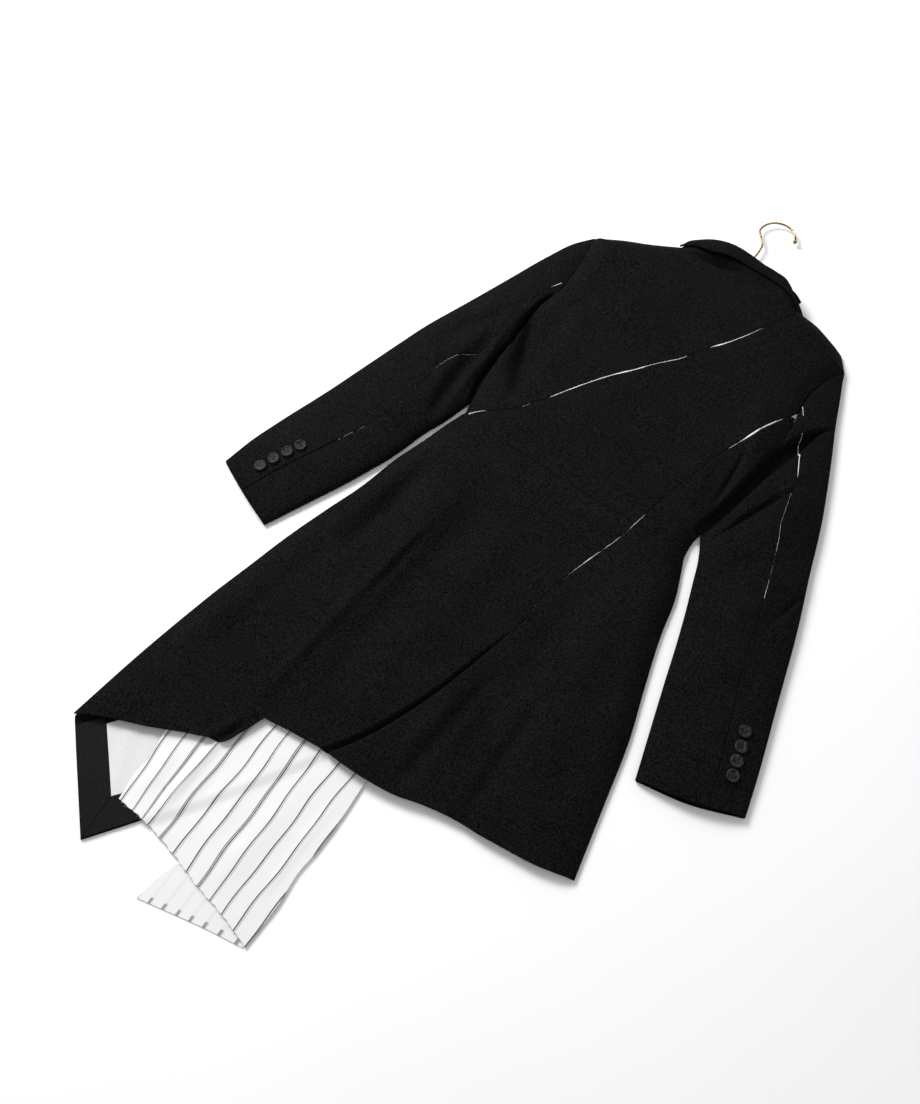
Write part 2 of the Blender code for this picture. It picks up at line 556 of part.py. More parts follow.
def sleeve_wall(turn, share, rings, folds, edges):
    """Outer and inner face of a sleeve piece, the inner one moved in along the loop's own normals."""
    nudge = 0.02
    outer = sleeve_surface(turn, share, rings, folds, edges)
    round_it = (sleeve_surface(turn + nudge, share, rings, folds, edges)
                - sleeve_surface(turn - nudge, share, rings, folds, edges))
    lengthwise = (sleeve_surface(turn, np.clip(share + nudge, 0, 1), rings, folds, edges)
                  - sleeve_surface(turn, np.clip(share - nudge, 0, 1), rings, folds, edges))
    normal = np.cross(round_it, lengthwise)
    normal /= np.linalg.norm(normal, axis=-1, keepdims=True) + 1e-9
    above = np.sin(turn) > 0.5
    if (normal[..., 2] * above).sum() < 0:
        normal = -normal
    return outer, outer - WOOL * normal


def shortened(points, cut):
    """Moves the armhole end of a sleeve down its length by half of the gap there."""
    moved = points.copy()
    step = points[1] - points[0]
    step[:, 2] = 0.0
    moved[0] += step / (np.linalg.norm(step, axis=1, keepdims=True) + 1e-9) * cut
    return moved


def build_sleeve(side, rings, folds, edges, seam_gap):
    """Top sleeve and under sleeve, parted at the back seam above and the front seam below."""
    wool = material_of("black wool " + side + " sleeve", (0.012, 0.012, 0.013), 0.85)
    share = np.linspace(0.0, 1.0, 19) ** 1.1
    table = np.array(rings, float)
    width = np.interp(share, *zip(*SLEEVE_WIDTHS))[:, None]
    seam_turn = np.arccos(1.0 - 2.0 * np.interp(share, table[:, 0], table[:, 2]))[:, None]
    below_turn = math.acos(1.0 - 2.0 * FRONT_SEAM_AT)
    back_gap = np.interp(share, *zip(*seam_gap))[:, None] / (width * np.sin(seam_turn))
    front_gap = SEAM / (width * math.sin(below_turn))
    step = np.linspace(0.0, 1.0, 15)[None, :]
    first, last = seam_turn - back_gap, -below_turn + front_gap
    top_turn = first + (last - first) * step
    step = np.linspace(0.0, 1.0, 13)[None, :]
    first, last = seam_turn + back_gap, 2.0 * math.pi - below_turn - front_gap
    under_turn = first + (last - first) * step
    for part, turn in (("top", top_turn), ("under", under_turn)):
        outer, inner = sleeve_wall(turn, share, rings, folds, edges)
        cut = ARMHOLE_GAP / 2
        wall_between(f"sleeve_{side}_{part}", shortened(outer, cut), shortened(inner, cut), wool)


def build_sleeve_lining(side, rings, folds, edges, reach):
    """White lining ribbon inside a sleeve, behind the opened stretch of its back seam."""
    white = material_of("white lining " + side + " sleeve", (0.75, 0.74, 0.72), 0.8)
    share = np.linspace(*reach, 13)
    table = np.array(rings, float)
    middle = np.arccos(1.0 - 2.0 * np.interp(share, table[:, 0], table[:, 2]))[:, None]
    width = np.interp(share, *zip(*SLEEVE_WIDTHS))[:, None]
    turn = middle + np.array([-8.0, 0.0, 8.0])[None, :] * 2.0 / (width * np.sin(middle))
    outer, inner = sleeve_wall(turn, share, rings, folds, edges)
    inwards = (inner - outer) / WOOL
    face = outer + inwards * (WOOL + SLEEVE_RIBBON_CLEAR)
    wall_between(f"lining_sleeve_{side}", face, face + inwards * LINING, white)


def build_sleeves():
    """Both sleeves between their armhole, their two folded edges and their cuff."""
    left = (LEFT_ARMHOLE_LINE, smooth(xy(LEFT_SLEEVE_OUTER), 40), smooth(xy(LEFT_SLEEVE_INNER), 40),
            smooth(xy(LEFT_CUFF), 9))
    right = (RIGHT_ARMHOLE_LINE, smooth(xy(RIGHT_SLEEVE_OUTER), 40), smooth(xy(RIGHT_SLEEVE_INNER), 40),
             smooth(xy(RIGHT_CUFF), 9))
    build_sleeve("left", LEFT_RINGS, LEFT_SLEEVE_FOLDS, left, LEFT_SEAM_GAP)
    build_sleeve("right", RIGHT_RINGS, RIGHT_SLEEVE_FOLDS, right, RIGHT_SEAM_GAP)
    build_sleeve_lining("left", LEFT_RINGS, LEFT_SLEEVE_FOLDS, left, (0.05, 0.62))
    build_sleeve_lining("right", RIGHT_RINGS, RIGHT_SLEEVE_FOLDS, right, (0.08, 0.56))
    build_buttons("left", LEFT_BUTTONS, LEFT_RINGS, LEFT_SLEEVE_FOLDS, left)
    build_buttons("right", RIGHT_BUTTONS, RIGHT_RINGS, RIGHT_SLEEVE_FOLDS, right)


def collar_level(share):
    """Height of the collar's crease along it: sin^0.6, so that both ends come down over the shoulders."""
    return COLLAR_LOW + COLLAR_RISE * np.sin(math.pi * np.clip(share, 0.0, 1.0)) ** 0.6


def build_collar():
    """The fall from the crease down over the back, and the stand under it down to the neckline."""
    wool = material_of("black wool collar", (0.012, 0.012, 0.013), 0.85)
    share = np.linspace(0.0, 1.0, 19)
    crease = along(smooth(xy(COLLAR_CREASE), 60), share)
    edge = along(smooth(xy(COLLAR_EDGE), 60), share)
    neck = along(smooth(xy(COLLAR_NECK), 60), share)
    high = np.maximum(collar_level(share), body_top(crease[:, 0], crease[:, 1]) + 4.0)
    low = body_top(edge[:, 0], edge[:, 1]) + WOOL + COLLAR_CLEAR
    down = np.linspace(0.0, 1.0, 6)[:, None]
    plan = crease[None] * (1 - down[..., None]) + edge[None] * down[..., None]
    level = high * (1 - down**0.8) + low * down**0.8 + 2.0 * np.sin(math.pi * down)
    level = np.maximum(level, body_top(plan[..., 0], plan[..., 1]) + WOOL + COLLAR_CLEAR)
    fall = np.dstack((plan, level))
    wall_between("collar_fall", fall, lowered(fall, WOOL), wool)
    down = np.linspace(0.0, 1.0, 4)[:, None]
    inside = share[2:-2]
    top = crease[2:-2] * 0.94 + edge[2:-2] * 0.06
    foot = neck[2:-2]
    start = np.interp(inside, share, high) - WOOL - STAND_CLEAR
    end = body_top(foot[:, 0], foot[:, 1]) - 0.4
    plan = top[None] * (1 - down[..., None]) + foot[None] * down[..., None]
    level = start * (1 - down) + end * down
    stand = np.dstack((plan, level))
    wall_between("collar_stand", stand, lowered(stand, WOOL), wool)


def build_fronts():
    """Right front flat on the surface, left front beside it and lapped over it."""
    wool = material_of("black wool front", (0.012, 0.012, 0.013), 0.85)
    right_edge = smooth(xy(RIGHT_FRONT_EDGE), 22)
    outline = np.vstack((right_edge, smooth(xy(RIGHT_HEM), 10)[5:] + (0.0, 5.0),
                         smooth(xy(RIGHT_SIDE), 9)[::-1][1:], xy(RIGHT_UNDERARM)[1:][::-1],
                         RIGHT_ARMHOLE_LINE[::-1], smooth(xy(RIGHT_SHOULDER), 5)[::-1][1:-1]))
    flat_piece("front_right", inset(outline, 0.8), 0.0, FRONT, wool)

    edge = smooth(xy(LEFT_FRONT_EDGE), 26)
    side = np.vstack((smooth(xy(LEFT_SHOULDER)[1:], 3), LEFT_BODY_LINE[1:], smooth(xy(LEFT_SIDE), 13),
                      xy(TAIL_EDGE)[1:3]))
    rows = np.concatenate(([0.0], np.cumsum(np.linalg.norm(np.diff(side, axis=0), axis=1))))
    plan = coons(np.linspace(side[0], edge[0], 8), np.linspace(side[-1], edge[-1], 8),
                 side, along(edge, rows / rows[-1]))
    plan = drawn_in(plan, bottom=1.6, top=0.0, left=1.6, right=0.0)
    lap_start = np.interp(plan[..., 1], xy(RIGHT_FRONT_EDGE)[::-1, 1], xy(RIGHT_FRONT_EDGE)[::-1, 0])
    lap = (FRONT + SEAM + 0.2) * ease((plan[..., 0] - lap_start + LAP_BEFORE) / LAP_RUN)
    top = np.dstack((plan, FRONT + lap))
    wall_between("front_left", top, lowered(top, FRONT), wool)


def inset(outline, amount):
    """A closed outline moved inwards by an amount."""
    run = np.roll(outline, -1, axis=0) - np.roll(outline, 1, axis=0)
    run /= np.linalg.norm(run, axis=1, keepdims=True)
    inward = np.column_stack((-run[:, 1], run[:, 0]))
    x, y = outline.T
    anticlockwise = (x * np.roll(y, -1) - np.roll(x, -1) * y).sum() > 0
    return outline + inward * (amount if anticlockwise else -amount)


def tail_directions():
    """Unit vectors from the tail's corner up its hem and up its front edge."""
    corner = np.array(TAIL_CORNER, float)
    up_hem = xy(TAIL_EDGE)[2] - corner
    up_edge = xy(LEFT_FRONT_EDGE)[-2] - corner
    return corner, up_hem / np.linalg.norm(up_hem), up_edge / np.linalg.norm(up_edge)


def build_tail_inside():
    """Turned-up hem and front facing, mitred at the corner, and the lining within them."""
    wool = material_of("black wool facing", (0.014, 0.014, 0.015), 0.8)
    grey = material_of("light grey lining", (0.60, 0.60, 0.62), 0.55)
    corner, hem, edge = tail_directions()
    sine = abs(hem[0] * edge[1] - hem[1] * edge[0])
    mitre = corner + (hem + edge) * FACING_WIDTH / sine
    outer = corner + (hem + edge) * TAIL_CLEAR
    gap = (hem - edge) * SEAM / 2
    low = FRONT + SEAM
    hem_inner = mitre + hem * (TURNUP_LENGTH - FACING_WIDTH / sine)
    strip = [outer + gap, outer + hem * TURNUP_LENGTH, hem_inner, mitre + gap]
    flat_piece("front_hem_turnup", np.array(strip), low, FACING, wool)
    edge_inner = mitre + edge * (FACING_LENGTH - FACING_WIDTH / sine)
    strip = [outer - gap, outer + edge * FACING_LENGTH, edge_inner, mitre - gap]
    flat_piece("front_edge_facing", np.array(strip), low, FACING, wool)
    start = mitre + (hem + edge) * SEAM
    across, down = hem * TAIL_LINING[0], edge * TAIL_LINING[1]
    patch = [start, start + across, start + across + down, start + down]
    flat_piece("lining_grey", np.array(patch), low, LINING, grey)


def shirting_level(x, y):
    """Height of the striped panel's upper face: over the tail's facing, then down to the underlayer."""
    front = smooth(xy(LEFT_FRONT_EDGE), 30)
    place = np.interp(y, front[::-1, 1], front[::-1, 0])
    on_tail = ease((place + 16.0 - x) / 16.0)
    low = SHIRTING + LAID
    high = FRONT + SEAM + FACING + LAID
    return SHIRTING + low + (high - low) * on_tail + folds_at(x, y, STRIPED_FOLDS)


def build_shirting():
    """Upper and lower layer of the folded striped panel."""
    white = material_of("striped shirting", (0.78, 0.78, 0.78), 0.7)
    down = np.linspace(0.0, 1.0, 14)
    across = np.linspace(0.0, 1.0, 17)
    left, right = smooth(xy(STRIPED_LEFT), 14), smooth(xy(STRIPED_RIGHT), 14)
    plan = coons(np.linspace(left[0], right[0], 17), along(smooth(xy(STRIPED_RAW), 40), across),
                 along(left, down), along(right, down))
    sheet("striped_upper", np.dstack((plan, shirting_level(plan[..., 0], plan[..., 1]))), SHIRTING, white)
    rows = np.linspace(0.0, 1.0, 8)
    left, right = smooth(xy(UNDERLAYER_LEFT), 8), smooth(xy(UNDERLAYER_RIGHT), 8)
    hem = along(smooth(xy(UNDERLAYER_HEM), 20), np.linspace(0.0, 1.0, 7))
    plan = coons(np.linspace(left[0], right[0], 7), hem, along(left, rows), along(right, rows))
    sheet("striped_lower", np.dstack((plan, np.full(plan.shape[:2], SHIRTING))), SHIRTING, white)


def button_mesh():
    """A turned four-hole button's body: flat back, rounded rim, dished face."""
    profile = [(0.0, BUTTON_H - 0.7), (0.55, BUTTON_H - 0.7), (0.75, BUTTON_H), (0.9, BUTTON_H), (1.0, 1.6),
               (0.97, 0.5), (0.8, 0.0), (0.0, 0.0)]
    steps = 14
    shape = bmesh.new()
    ring = [shape.verts.new((share * BUTTON_R * MM, 0.0, height * MM)) for share, height in profile]
    edges = [shape.edges.new(pair) for pair in zip(ring, ring[1:])]
    bmesh.ops.spin(shape, geom=ring + edges, cent=(0, 0, 0), axis=(0, 0, 1), angle=2 * math.pi, steps=steps,
                   use_merge=True)
    bmesh.ops.remove_doubles(shape, verts=shape.verts, dist=0.00002)
    bmesh.ops.recalc_face_normals(shape, faces=shape.faces)
    mesh = bpy.data.meshes.new("button")
    shape.to_mesh(mesh)
    shape.free()
    mesh.shade_smooth()
    mesh.set_sharp_from_angle(angle=math.radians(40))
    return mesh


def seat_of_button(place, share_table, folds, edges):
    """Point and normal of a sleeve's outside straight above a place in plan."""
    turns, shares = np.linspace(0.15, 2.6, 80), np.linspace(0.6, 1.0, 80)
    surface = sleeve_surface(np.broadcast_to(turns, (80, 80)).copy(), shares, share_table, folds, edges)
    off = np.hypot(surface[..., 0] - place[0], surface[..., 1] - place[1])
    row, column = np.unravel_index(off.argmin(), off.shape)
    row, column = int(np.clip(row, 4, 75)), int(np.clip(column, 4, 75))
    normal = np.cross(surface[row, column + 3] - surface[row, column - 3],
                      surface[row + 3, column] - surface[row - 3, column])
    normal /= np.linalg.norm(normal)
    return surface[row, column], normal if normal[2] > 0 else -normal


def build_buttons(side, places, rings, folds, edges):
    """The buttons of one cuff, each just clear of the cloth under it."""
    horn = material_of("black horn " + side, (0.02, 0.02, 0.021), 0.25)
    mesh = button_mesh()
    mesh.materials.append(horn)
    for number, place in enumerate(places, 1):
        point, normal = seat_of_button(place, rings, folds, edges)
        button = bpy.data.objects.new(f"button_{side}_{number}", mesh)
        button.location = metres(point + normal * BUTTON_CLEAR)
        button.rotation_mode = 'QUATERNION'
        button.rotation_quaternion = Vector(normal).to_track_quat('Z', 'Y')
        PARTS.objects.link(button)


def build_hanger():
    """The shoulder bar and the wire hook with its ball tip."""
    wood = material_of("dark hanger bar", (0.03, 0.025, 0.02), 0.5)
    brass = material_of("brass wire", (0.62, 0.44, 0.20), 0.3, 1.0)
    upper = smooth(xy(BAR_UPPER), 21)
    lower = smooth(xy(BAR_LOWER), 21)[::-1]
    flat_piece("hanger_bar", np.vstack((upper, lower)), FRONT + SEAM + 0.1, BAR, wood)

    centre = np.array(HOOK_CENTRE)
    turns = np.radians(np.linspace(192.0, 22.0, 24))
    loop = centre + HOOK_R * np.column_stack((np.cos(turns), np.sin(turns)))
    route = np.vstack((smooth(np.vstack((xy(HOOK_STEM), loop[:1])), 18)[:-1], loop))
    heading = (route[-1] - route[-2]) / np.linalg.norm(route[-1] - route[-2])
    ball = np.array((0.6, 1.6, 2.9, 4.2, 5.2, 5.75))
    route = np.vstack((route, route[-1] + heading * ball[:, None]))
    radius = np.full(len(route), WIRE_R)
    radius[-6:] = np.maximum(WIRE_R * (ball < 1.0), np.sqrt(np.maximum(BALL_R**2 - (ball - BALL_R)**2, 0.3)))
    curve = bpy.data.curves.new("hanger_hook", 'CURVE')
    curve.dimensions = '3D'
    curve.bevel_depth = MM
    curve.bevel_resolution = 2
    curve.use_fill_caps = True
    spline = curve.splines.new('POLY')
    points = metres(np.column_stack((route, np.full(len(route), HOOK_Z))))
    spline.points.add(len(points) - 1)
    for point, place, size in zip(spline.points, points, radius):
        point.co = (*place, 1.0)
        point.radius = size
    curve.materials.append(brass)
    hook = bpy.data.objects.new("hanger_hook", curve)
    PARTS.objects.link(hook)


def main():
    """Builds every piece."""
    build_bodice()
    build_skirt()
    build_slit_linings()
    build_sleeves()
    build_collar()
    build_fronts()
    build_tail_inside()
    build_shirting()
    build_hanger()


for old in list(bpy.data.objects):
    bpy.data.objects.remove(old)
PARTS = bpy.data.collections.new("tailored jacket")
bpy.context.scene.collection.children.link(PARTS)
main()
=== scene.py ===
"""Long tailored jacket, laid face down over its shoulder hanger.

Tables are in millimetres in the garment's own frame: centre line on x = 0, waist at y = 150, neck towards
+y, and z = 0 on the surface that it lies on. Every mesh is moved to the part's frame, in metres.
"""
import logging
import math
from dataclasses import dataclass
from enum import Enum

import bmesh
import bpy
import numpy as np
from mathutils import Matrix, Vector


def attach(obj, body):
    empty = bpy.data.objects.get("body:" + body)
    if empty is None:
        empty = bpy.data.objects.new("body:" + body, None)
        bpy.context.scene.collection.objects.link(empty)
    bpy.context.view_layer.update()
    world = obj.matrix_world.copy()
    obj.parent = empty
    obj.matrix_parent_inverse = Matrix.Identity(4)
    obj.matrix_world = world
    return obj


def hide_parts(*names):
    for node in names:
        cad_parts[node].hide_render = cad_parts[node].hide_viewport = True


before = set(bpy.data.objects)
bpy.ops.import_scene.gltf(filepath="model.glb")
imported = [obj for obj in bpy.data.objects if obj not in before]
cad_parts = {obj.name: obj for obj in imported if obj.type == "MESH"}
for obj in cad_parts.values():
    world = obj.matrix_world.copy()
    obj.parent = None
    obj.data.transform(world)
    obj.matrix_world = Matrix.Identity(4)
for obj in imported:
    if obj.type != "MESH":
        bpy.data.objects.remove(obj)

LOG = logging.getLogger("jacket")
MM = 0.001
CENTRE = np.array((16.6, 81.9, 0.0))
CLOSED = 0.3  # gap between two pieces that touch
FILLED = 0.45  # least share of its rectangle that a sheet's worked-out cut fills
NARROWEST = 0.012  # least side of a sheet's worked-out cut, in metres
SEAM_ROUNDING = 0.12  # share of the thickness by which the border of a seamed panel gives way
ARMHOLE_STEEP = 3.2  # exponent of the walls of the armhole valleys
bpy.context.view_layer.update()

Array = np.ndarray
Pairs = tuple[tuple[float, ...], ...]
Tone = tuple[float, float, float]


# Deep valleys where the sleeves fold under the body: x, y, width and depth at each station
ARMHOLE_VALLEYS: tuple[Pairs, ...] = (
    ((-194, 498, 1.2, 0), (-187, 472, 1.2, 1.5), (-181, 443, 1.3, 2), (-179, 416, 1.4, 2.5),
     (-177, 392, 1.5, 3.5), (-184, 373, 1.8, 7), (-187, 340, 2.6, 14), (-184, 304, 3, 15),
     (-180, 284, 2.6, 14), (-182, 264, 1.8, 9), (-179, 232, 3.2, 15), (-175, 204, 3.8, 16),
     (-168, 182, 3.4, 14)),
    ((227, 425, 1, 0), (219, 413, 1.7, 7), (210, 397, 3.4, 15), (204, 376, 6.6, 19), (197, 352, 8.4, 20),
     (190, 325, 8.4, 20), (186, 300, 7.4, 18), (181, 265, 7, 17), (175, 225, 6.4, 15), (168, 194, 5.5, 13)),
    ((181, 480, 1, 0), (175, 442, 1, 1), (178, 412, 1.2, 1.8), (183, 385, 1.4, 2)))


class Layer(Enum):
    """Thickness of each kind of cloth, in millimetres."""

    WOOL = 1.8
    FRONT = 2.0
    FACING = 1.6
    LINING = 1.0
    SHIRTING = 1.2


class Side(Enum):
    """The two sides of a plan grid's edges."""

    BOTTOM = "bottom"
    TOP = "top"
    LEFT = "left"
    RIGHT = "right"


@dataclass(frozen=True)
class Fold:
    """A ridge, or a trough where height is below zero, that runs from (x0, y0) to (x1, y1)."""

    x0: float
    y0: float
    x1: float
    y1: float
    width: float
    height: float


def ease(value: Array) -> Array:
    """Smooth step from 0 to 1: 3 v^2 - 2 v^3 of the clipped value."""
    value = np.clip(value, 0.0, 1.0)
    return value * value * (3.0 - 2.0 * value)


def lengths(line: Array) -> Array:
    """Running length along a polyline."""
    steps = np.linalg.norm(np.diff(line, axis=0), axis=1)
    return np.concatenate(([0.0], np.cumsum(steps)))


def smooth(rows: Pairs, count: int) -> Array:
    """Resamples stations evenly along their chord by a cubic through each of them.

    Args:
        rows: Stations, of which the first two columns are x and y.
        count: How many points to return.

    Returns:
        The points, one row each.
    """
    values = np.asarray(rows, float)
    chord = lengths(values[:, :2])
    slope = np.gradient(values, chord, axis=0)
    at = np.linspace(0.0, chord[-1], count)
    cell = np.clip(np.searchsorted(chord, at, side="right") - 1, 0, len(chord) - 2)
    width = (chord[cell + 1] - chord[cell])[:, None]
    t = (at - chord[cell])[:, None] / width
    leave, arrive = slope[cell] * width, slope[cell + 1] * width
    return ((2 * t**3 - 3 * t**2 + 1) * values[cell] + (t**3 - 2 * t**2 + t) * leave
            + (3 * t**2 - 2 * t**3) * values[cell + 1] + (t**3 - t**2) * arrive)


def along(line: Array, shares: Array) -> Array:
    """Points at given shares of a polyline's length.

    Args:
        line: The polyline.
        shares: Shares of its length.

    Returns:
        The points, one row each.
    """
    length = lengths(line)
    wanted = np.asarray(shares) * length[-1]
    return np.column_stack([np.interp(wanted, length, line[:, axis]) for axis in range(line.shape[1])])


def meet(line: Array, point: Array, reach: float = 14.0) -> Array:
    """A line whose start is moved onto a point, with the rest giving way over a reach."""
    return line + (point - line[0]) * np.clip(1.0 - lengths(line) / reach, 0.0, 1.0)[:, None]


def by_share(rows: Pairs, shares: Array) -> Array:
    """The second column of a table of share and value, at given shares."""
    return np.interp(shares, *zip(*rows))


def clustered(count: int, start: float = 0.92, end: float = 0.92) -> Array:
    """Shares from 0 to 1 that crowd towards the start, the end, or both, as edges need.

    Args:
        count: How many shares.
        start: How much they crowd at 0, below 1.
        end: How much they crowd at 1, below 1.

    Returns:
        The shares.
    """
    t = np.linspace(0.0, 1.0, 401)
    density = 1.0 / (1.0 - start * np.exp(-t / 0.08)) + 1.0 / (1.0 - end * np.exp((t - 1.0) / 0.08)) - 1.0
    running = np.concatenate(([0.0], np.cumsum((density[1:] + density[:-1]) / 2)))
    return np.interp(np.linspace(0.0, 1.0, count), running / running[-1], t)


def distance(x: Array, y: Array, line: Array) -> Array:
    """Shortest distance from each point to a polyline.

    Args:
        x: Places across.
        y: Places along.
        line: The polyline.

    Returns:
        Distances, in the shape of x.
    """
    start, run = line[:-1], np.diff(line, axis=0)
    gap_x, gap_y = x[..., None] - start[:, 0], y[..., None] - start[:, 1]
    share = np.clip((gap_x * run[:, 0] + gap_y * run[:, 1]) / (run**2).sum(axis=1), 0.0, 1.0)
    return np.hypot(gap_x - share * run[:, 0], gap_y - share * run[:, 1]).min(axis=-1)


def folds_at(x: Array, y: Array, folds: tuple[Fold, ...]) -> Array:
    """Sum of the folds: each is height * exp(-(aside / width)^2), fading out at its two ends.

    Args:
        x: Places across.
        y: Places along.
        folds: Ridges and troughs.

    Returns:
        Heights in millimetres.
    """
    total = np.zeros_like(x)
    for fold in folds:
        run_x, run_y = fold.x1 - fold.x0, fold.y1 - fold.y0
        length = math.hypot(run_x, run_y)
        forward = ((x - fold.x0) * run_x + (y - fold.y0) * run_y) / length
        aside = ((x - fold.x0) * run_y - (y - fold.y0) * run_x) / length
        fade = ease(forward / (0.35 * length)) * ease((length - forward) / (0.35 * length))
        total += fold.height * fade * np.exp(-(aside / fold.width) ** 2)
    return total


def valleys_at(x: Array, y: Array, valleys: tuple[Pairs, ...], steep: float = 2.2) -> Array:
    """Depth of the valleys at places in plan.

    Each valley is a table of x, y, width and depth. Its depth is depth * exp(-|d / width|^steep), where d is
    the distance to its line, and width and depth are read off at the nearest point of it.

    Args:
        x: Places across.
        y: Places along.
        valleys: Their tables.
        steep: Exponent of their walls.

    Returns:
        Depths in millimetres.
    """
    total = np.zeros_like(x)
    for rows in valleys:
        line = smooth(rows, 26)
        start, run = line[:-1], np.diff(line, axis=0)
        gap_x, gap_y = x[..., None] - start[:, 0], y[..., None] - start[:, 1]
        share = (gap_x * run[:, 0] + gap_y * run[:, 1]) / (run[:, :2] ** 2).sum(axis=1)
        share = np.clip(share, 0.0, 1.0)
        away = np.hypot(gap_x - share * run[:, 0], gap_y - share * run[:, 1])
        near = away.argmin(axis=-1)
        share, away = (np.take_along_axis(grid, near[..., None], -1)[..., 0] for grid in (share, away))
        width, depth = (start[near, column] + share * run[near, column] for column in (2, 3))
        total += depth * np.exp(-np.abs(away / np.maximum(width, 0.5)) ** steep)
    return total


def ripple(x: Array, y: Array, size: float) -> Array:
    """Uneven lie of cloth: nine crossed sine waves, 26 to 95 mm long, each with its phase bent by itself.

    Args:
        x: Places across.
        y: Places along.
        size: Rough height of the waves.

    Returns:
        Heights in millimetres.
    """
    total = np.zeros_like(x)
    for step in range(9):
        turn = 2.4 * step
        wave = 26.0 * 1.175**step
        phase = (x * math.cos(turn) + y * math.sin(turn)) * 2 * math.pi / wave
        total += (wave / 95.0) * np.sin(phase + 1.7 * step + 0.8 * np.sin(phase * 0.37 + step))
    return total * size / 2.2


def coons(bottom: Array, top: Array, left: Array, right: Array) -> Array:
    """Grid between four edges: the two ruled surfaces added, less the bilinear one.

    Args:
        bottom: Edge at v = 0, running with u.
        top: Edge at v = 1, running with u.
        left: Edge at u = 0, running with v.
        right: Edge at u = 1, running with v.

    Returns:
        Points indexed [v, u].
    """
    u, v = lengths(bottom), lengths(left)
    u, v = (u / u[-1])[None, :, None], (v / v[-1])[:, None, None]
    corners = ((1 - u) * (1 - v) * bottom[0] + u * (1 - v) * bottom[-1]
               + (1 - u) * v * top[0] + u * v * top[-1])
    return ((1 - v) * bottom[None] + v * top[None]
            + (1 - u) * left[:, None] + u * right[:, None] - corners)


def drawn_in(plan: Array, side: Side, gap: Array | float, reach: float = 22.0) -> Array:
    """Draws one edge of a plan grid in by half of a gap, fading out over a reach behind the edge.

    Args:
        plan: Grid of x, y.
        side: Which edge.
        gap: Width of the opening, one number or one for each point of the edge.
        reach: Distance over which the rows behind the edge give way.

    Returns:
        The moved grid.
    """
    turned = {Side.BOTTOM: plan, Side.TOP: plan[::-1],
              Side.LEFT: plan.swapaxes(0, 1), Side.RIGHT: plan[:, ::-1].swapaxes(0, 1)}[side].copy()
    line, inside = turned[0], turned[min(8, len(turned) - 1)]
    run = np.gradient(line, axis=0)
    run /= np.linalg.norm(run, axis=1, keepdims=True) + 1e-9
    inward = inside - line
    inward -= (inward * run).sum(axis=1, keepdims=True) * run
    inward /= np.linalg.norm(inward, axis=1, keepdims=True) + 1e-9
    away = np.linalg.norm(turned - line[None], axis=-1, keepdims=True)
    half = np.broadcast_to(np.asarray(gap, float) / 2, len(line))[None, :, None]
    turned = turned + inward[None] * half * np.clip(1.0 - away / reach, 0.0, 1.0)
    return {Side.BOTTOM: turned, Side.TOP: turned[::-1],
            Side.LEFT: turned.swapaxes(0, 1), Side.RIGHT: turned.swapaxes(0, 1)[:, ::-1]}[side]


def in_metres(points: Array) -> Array:
    """Garment millimetres to the part's metres."""
    return (np.asarray(points, float) - CENTRE) * MM


def grid_quads(rows: int, columns: int, first: int = 0) -> Array:
    """Quads of a grid of points that are counted row by row."""
    index = first + np.arange(rows * columns).reshape(rows, columns)
    return np.stack((index[:-1, :-1], index[:-1, 1:], index[1:, 1:], index[1:, :-1]), axis=-1).reshape(-1, 4)


def add_map(mesh: bpy.types.Mesh, name: str, uv: Array) -> None:
    """Adds a UV map that gives each corner the place of its point.

    Args:
        mesh: The mesh.
        name: The map's name.
        uv: Place of each point.
    """
    layer = mesh.uv_layers.new(name=name)
    corners = np.empty(len(mesh.loops), np.int32)
    mesh.loops.foreach_get("vertex_index", corners)
    layer.data.foreach_set("uv", uv[corners].astype(np.float32).ravel())


def mesh_object(name: str, points: Array, faces: list[list[int]],
                uv: Array | None = None) -> bpy.types.Object:
    """An object at the origin from points in the garment's frame.

    Args:
        name: The object's name.
        points: Points, one row each, in millimetres.
        faces: Corner numbers of each face.
        uv: Place of each point on the cloth, for its weave and pattern.

    Returns:
        The linked object, shaded smooth.
    """
    mesh = bpy.data.meshes.new(name)
    mesh.from_pydata(in_metres(points).tolist(), [], faces)
    if uv is not None:
        add_map(mesh, "cloth", uv)
    mesh.shade_smooth()
    piece = bpy.data.objects.new(name, mesh)
    bpy.context.scene.collection.objects.link(piece)
    return piece


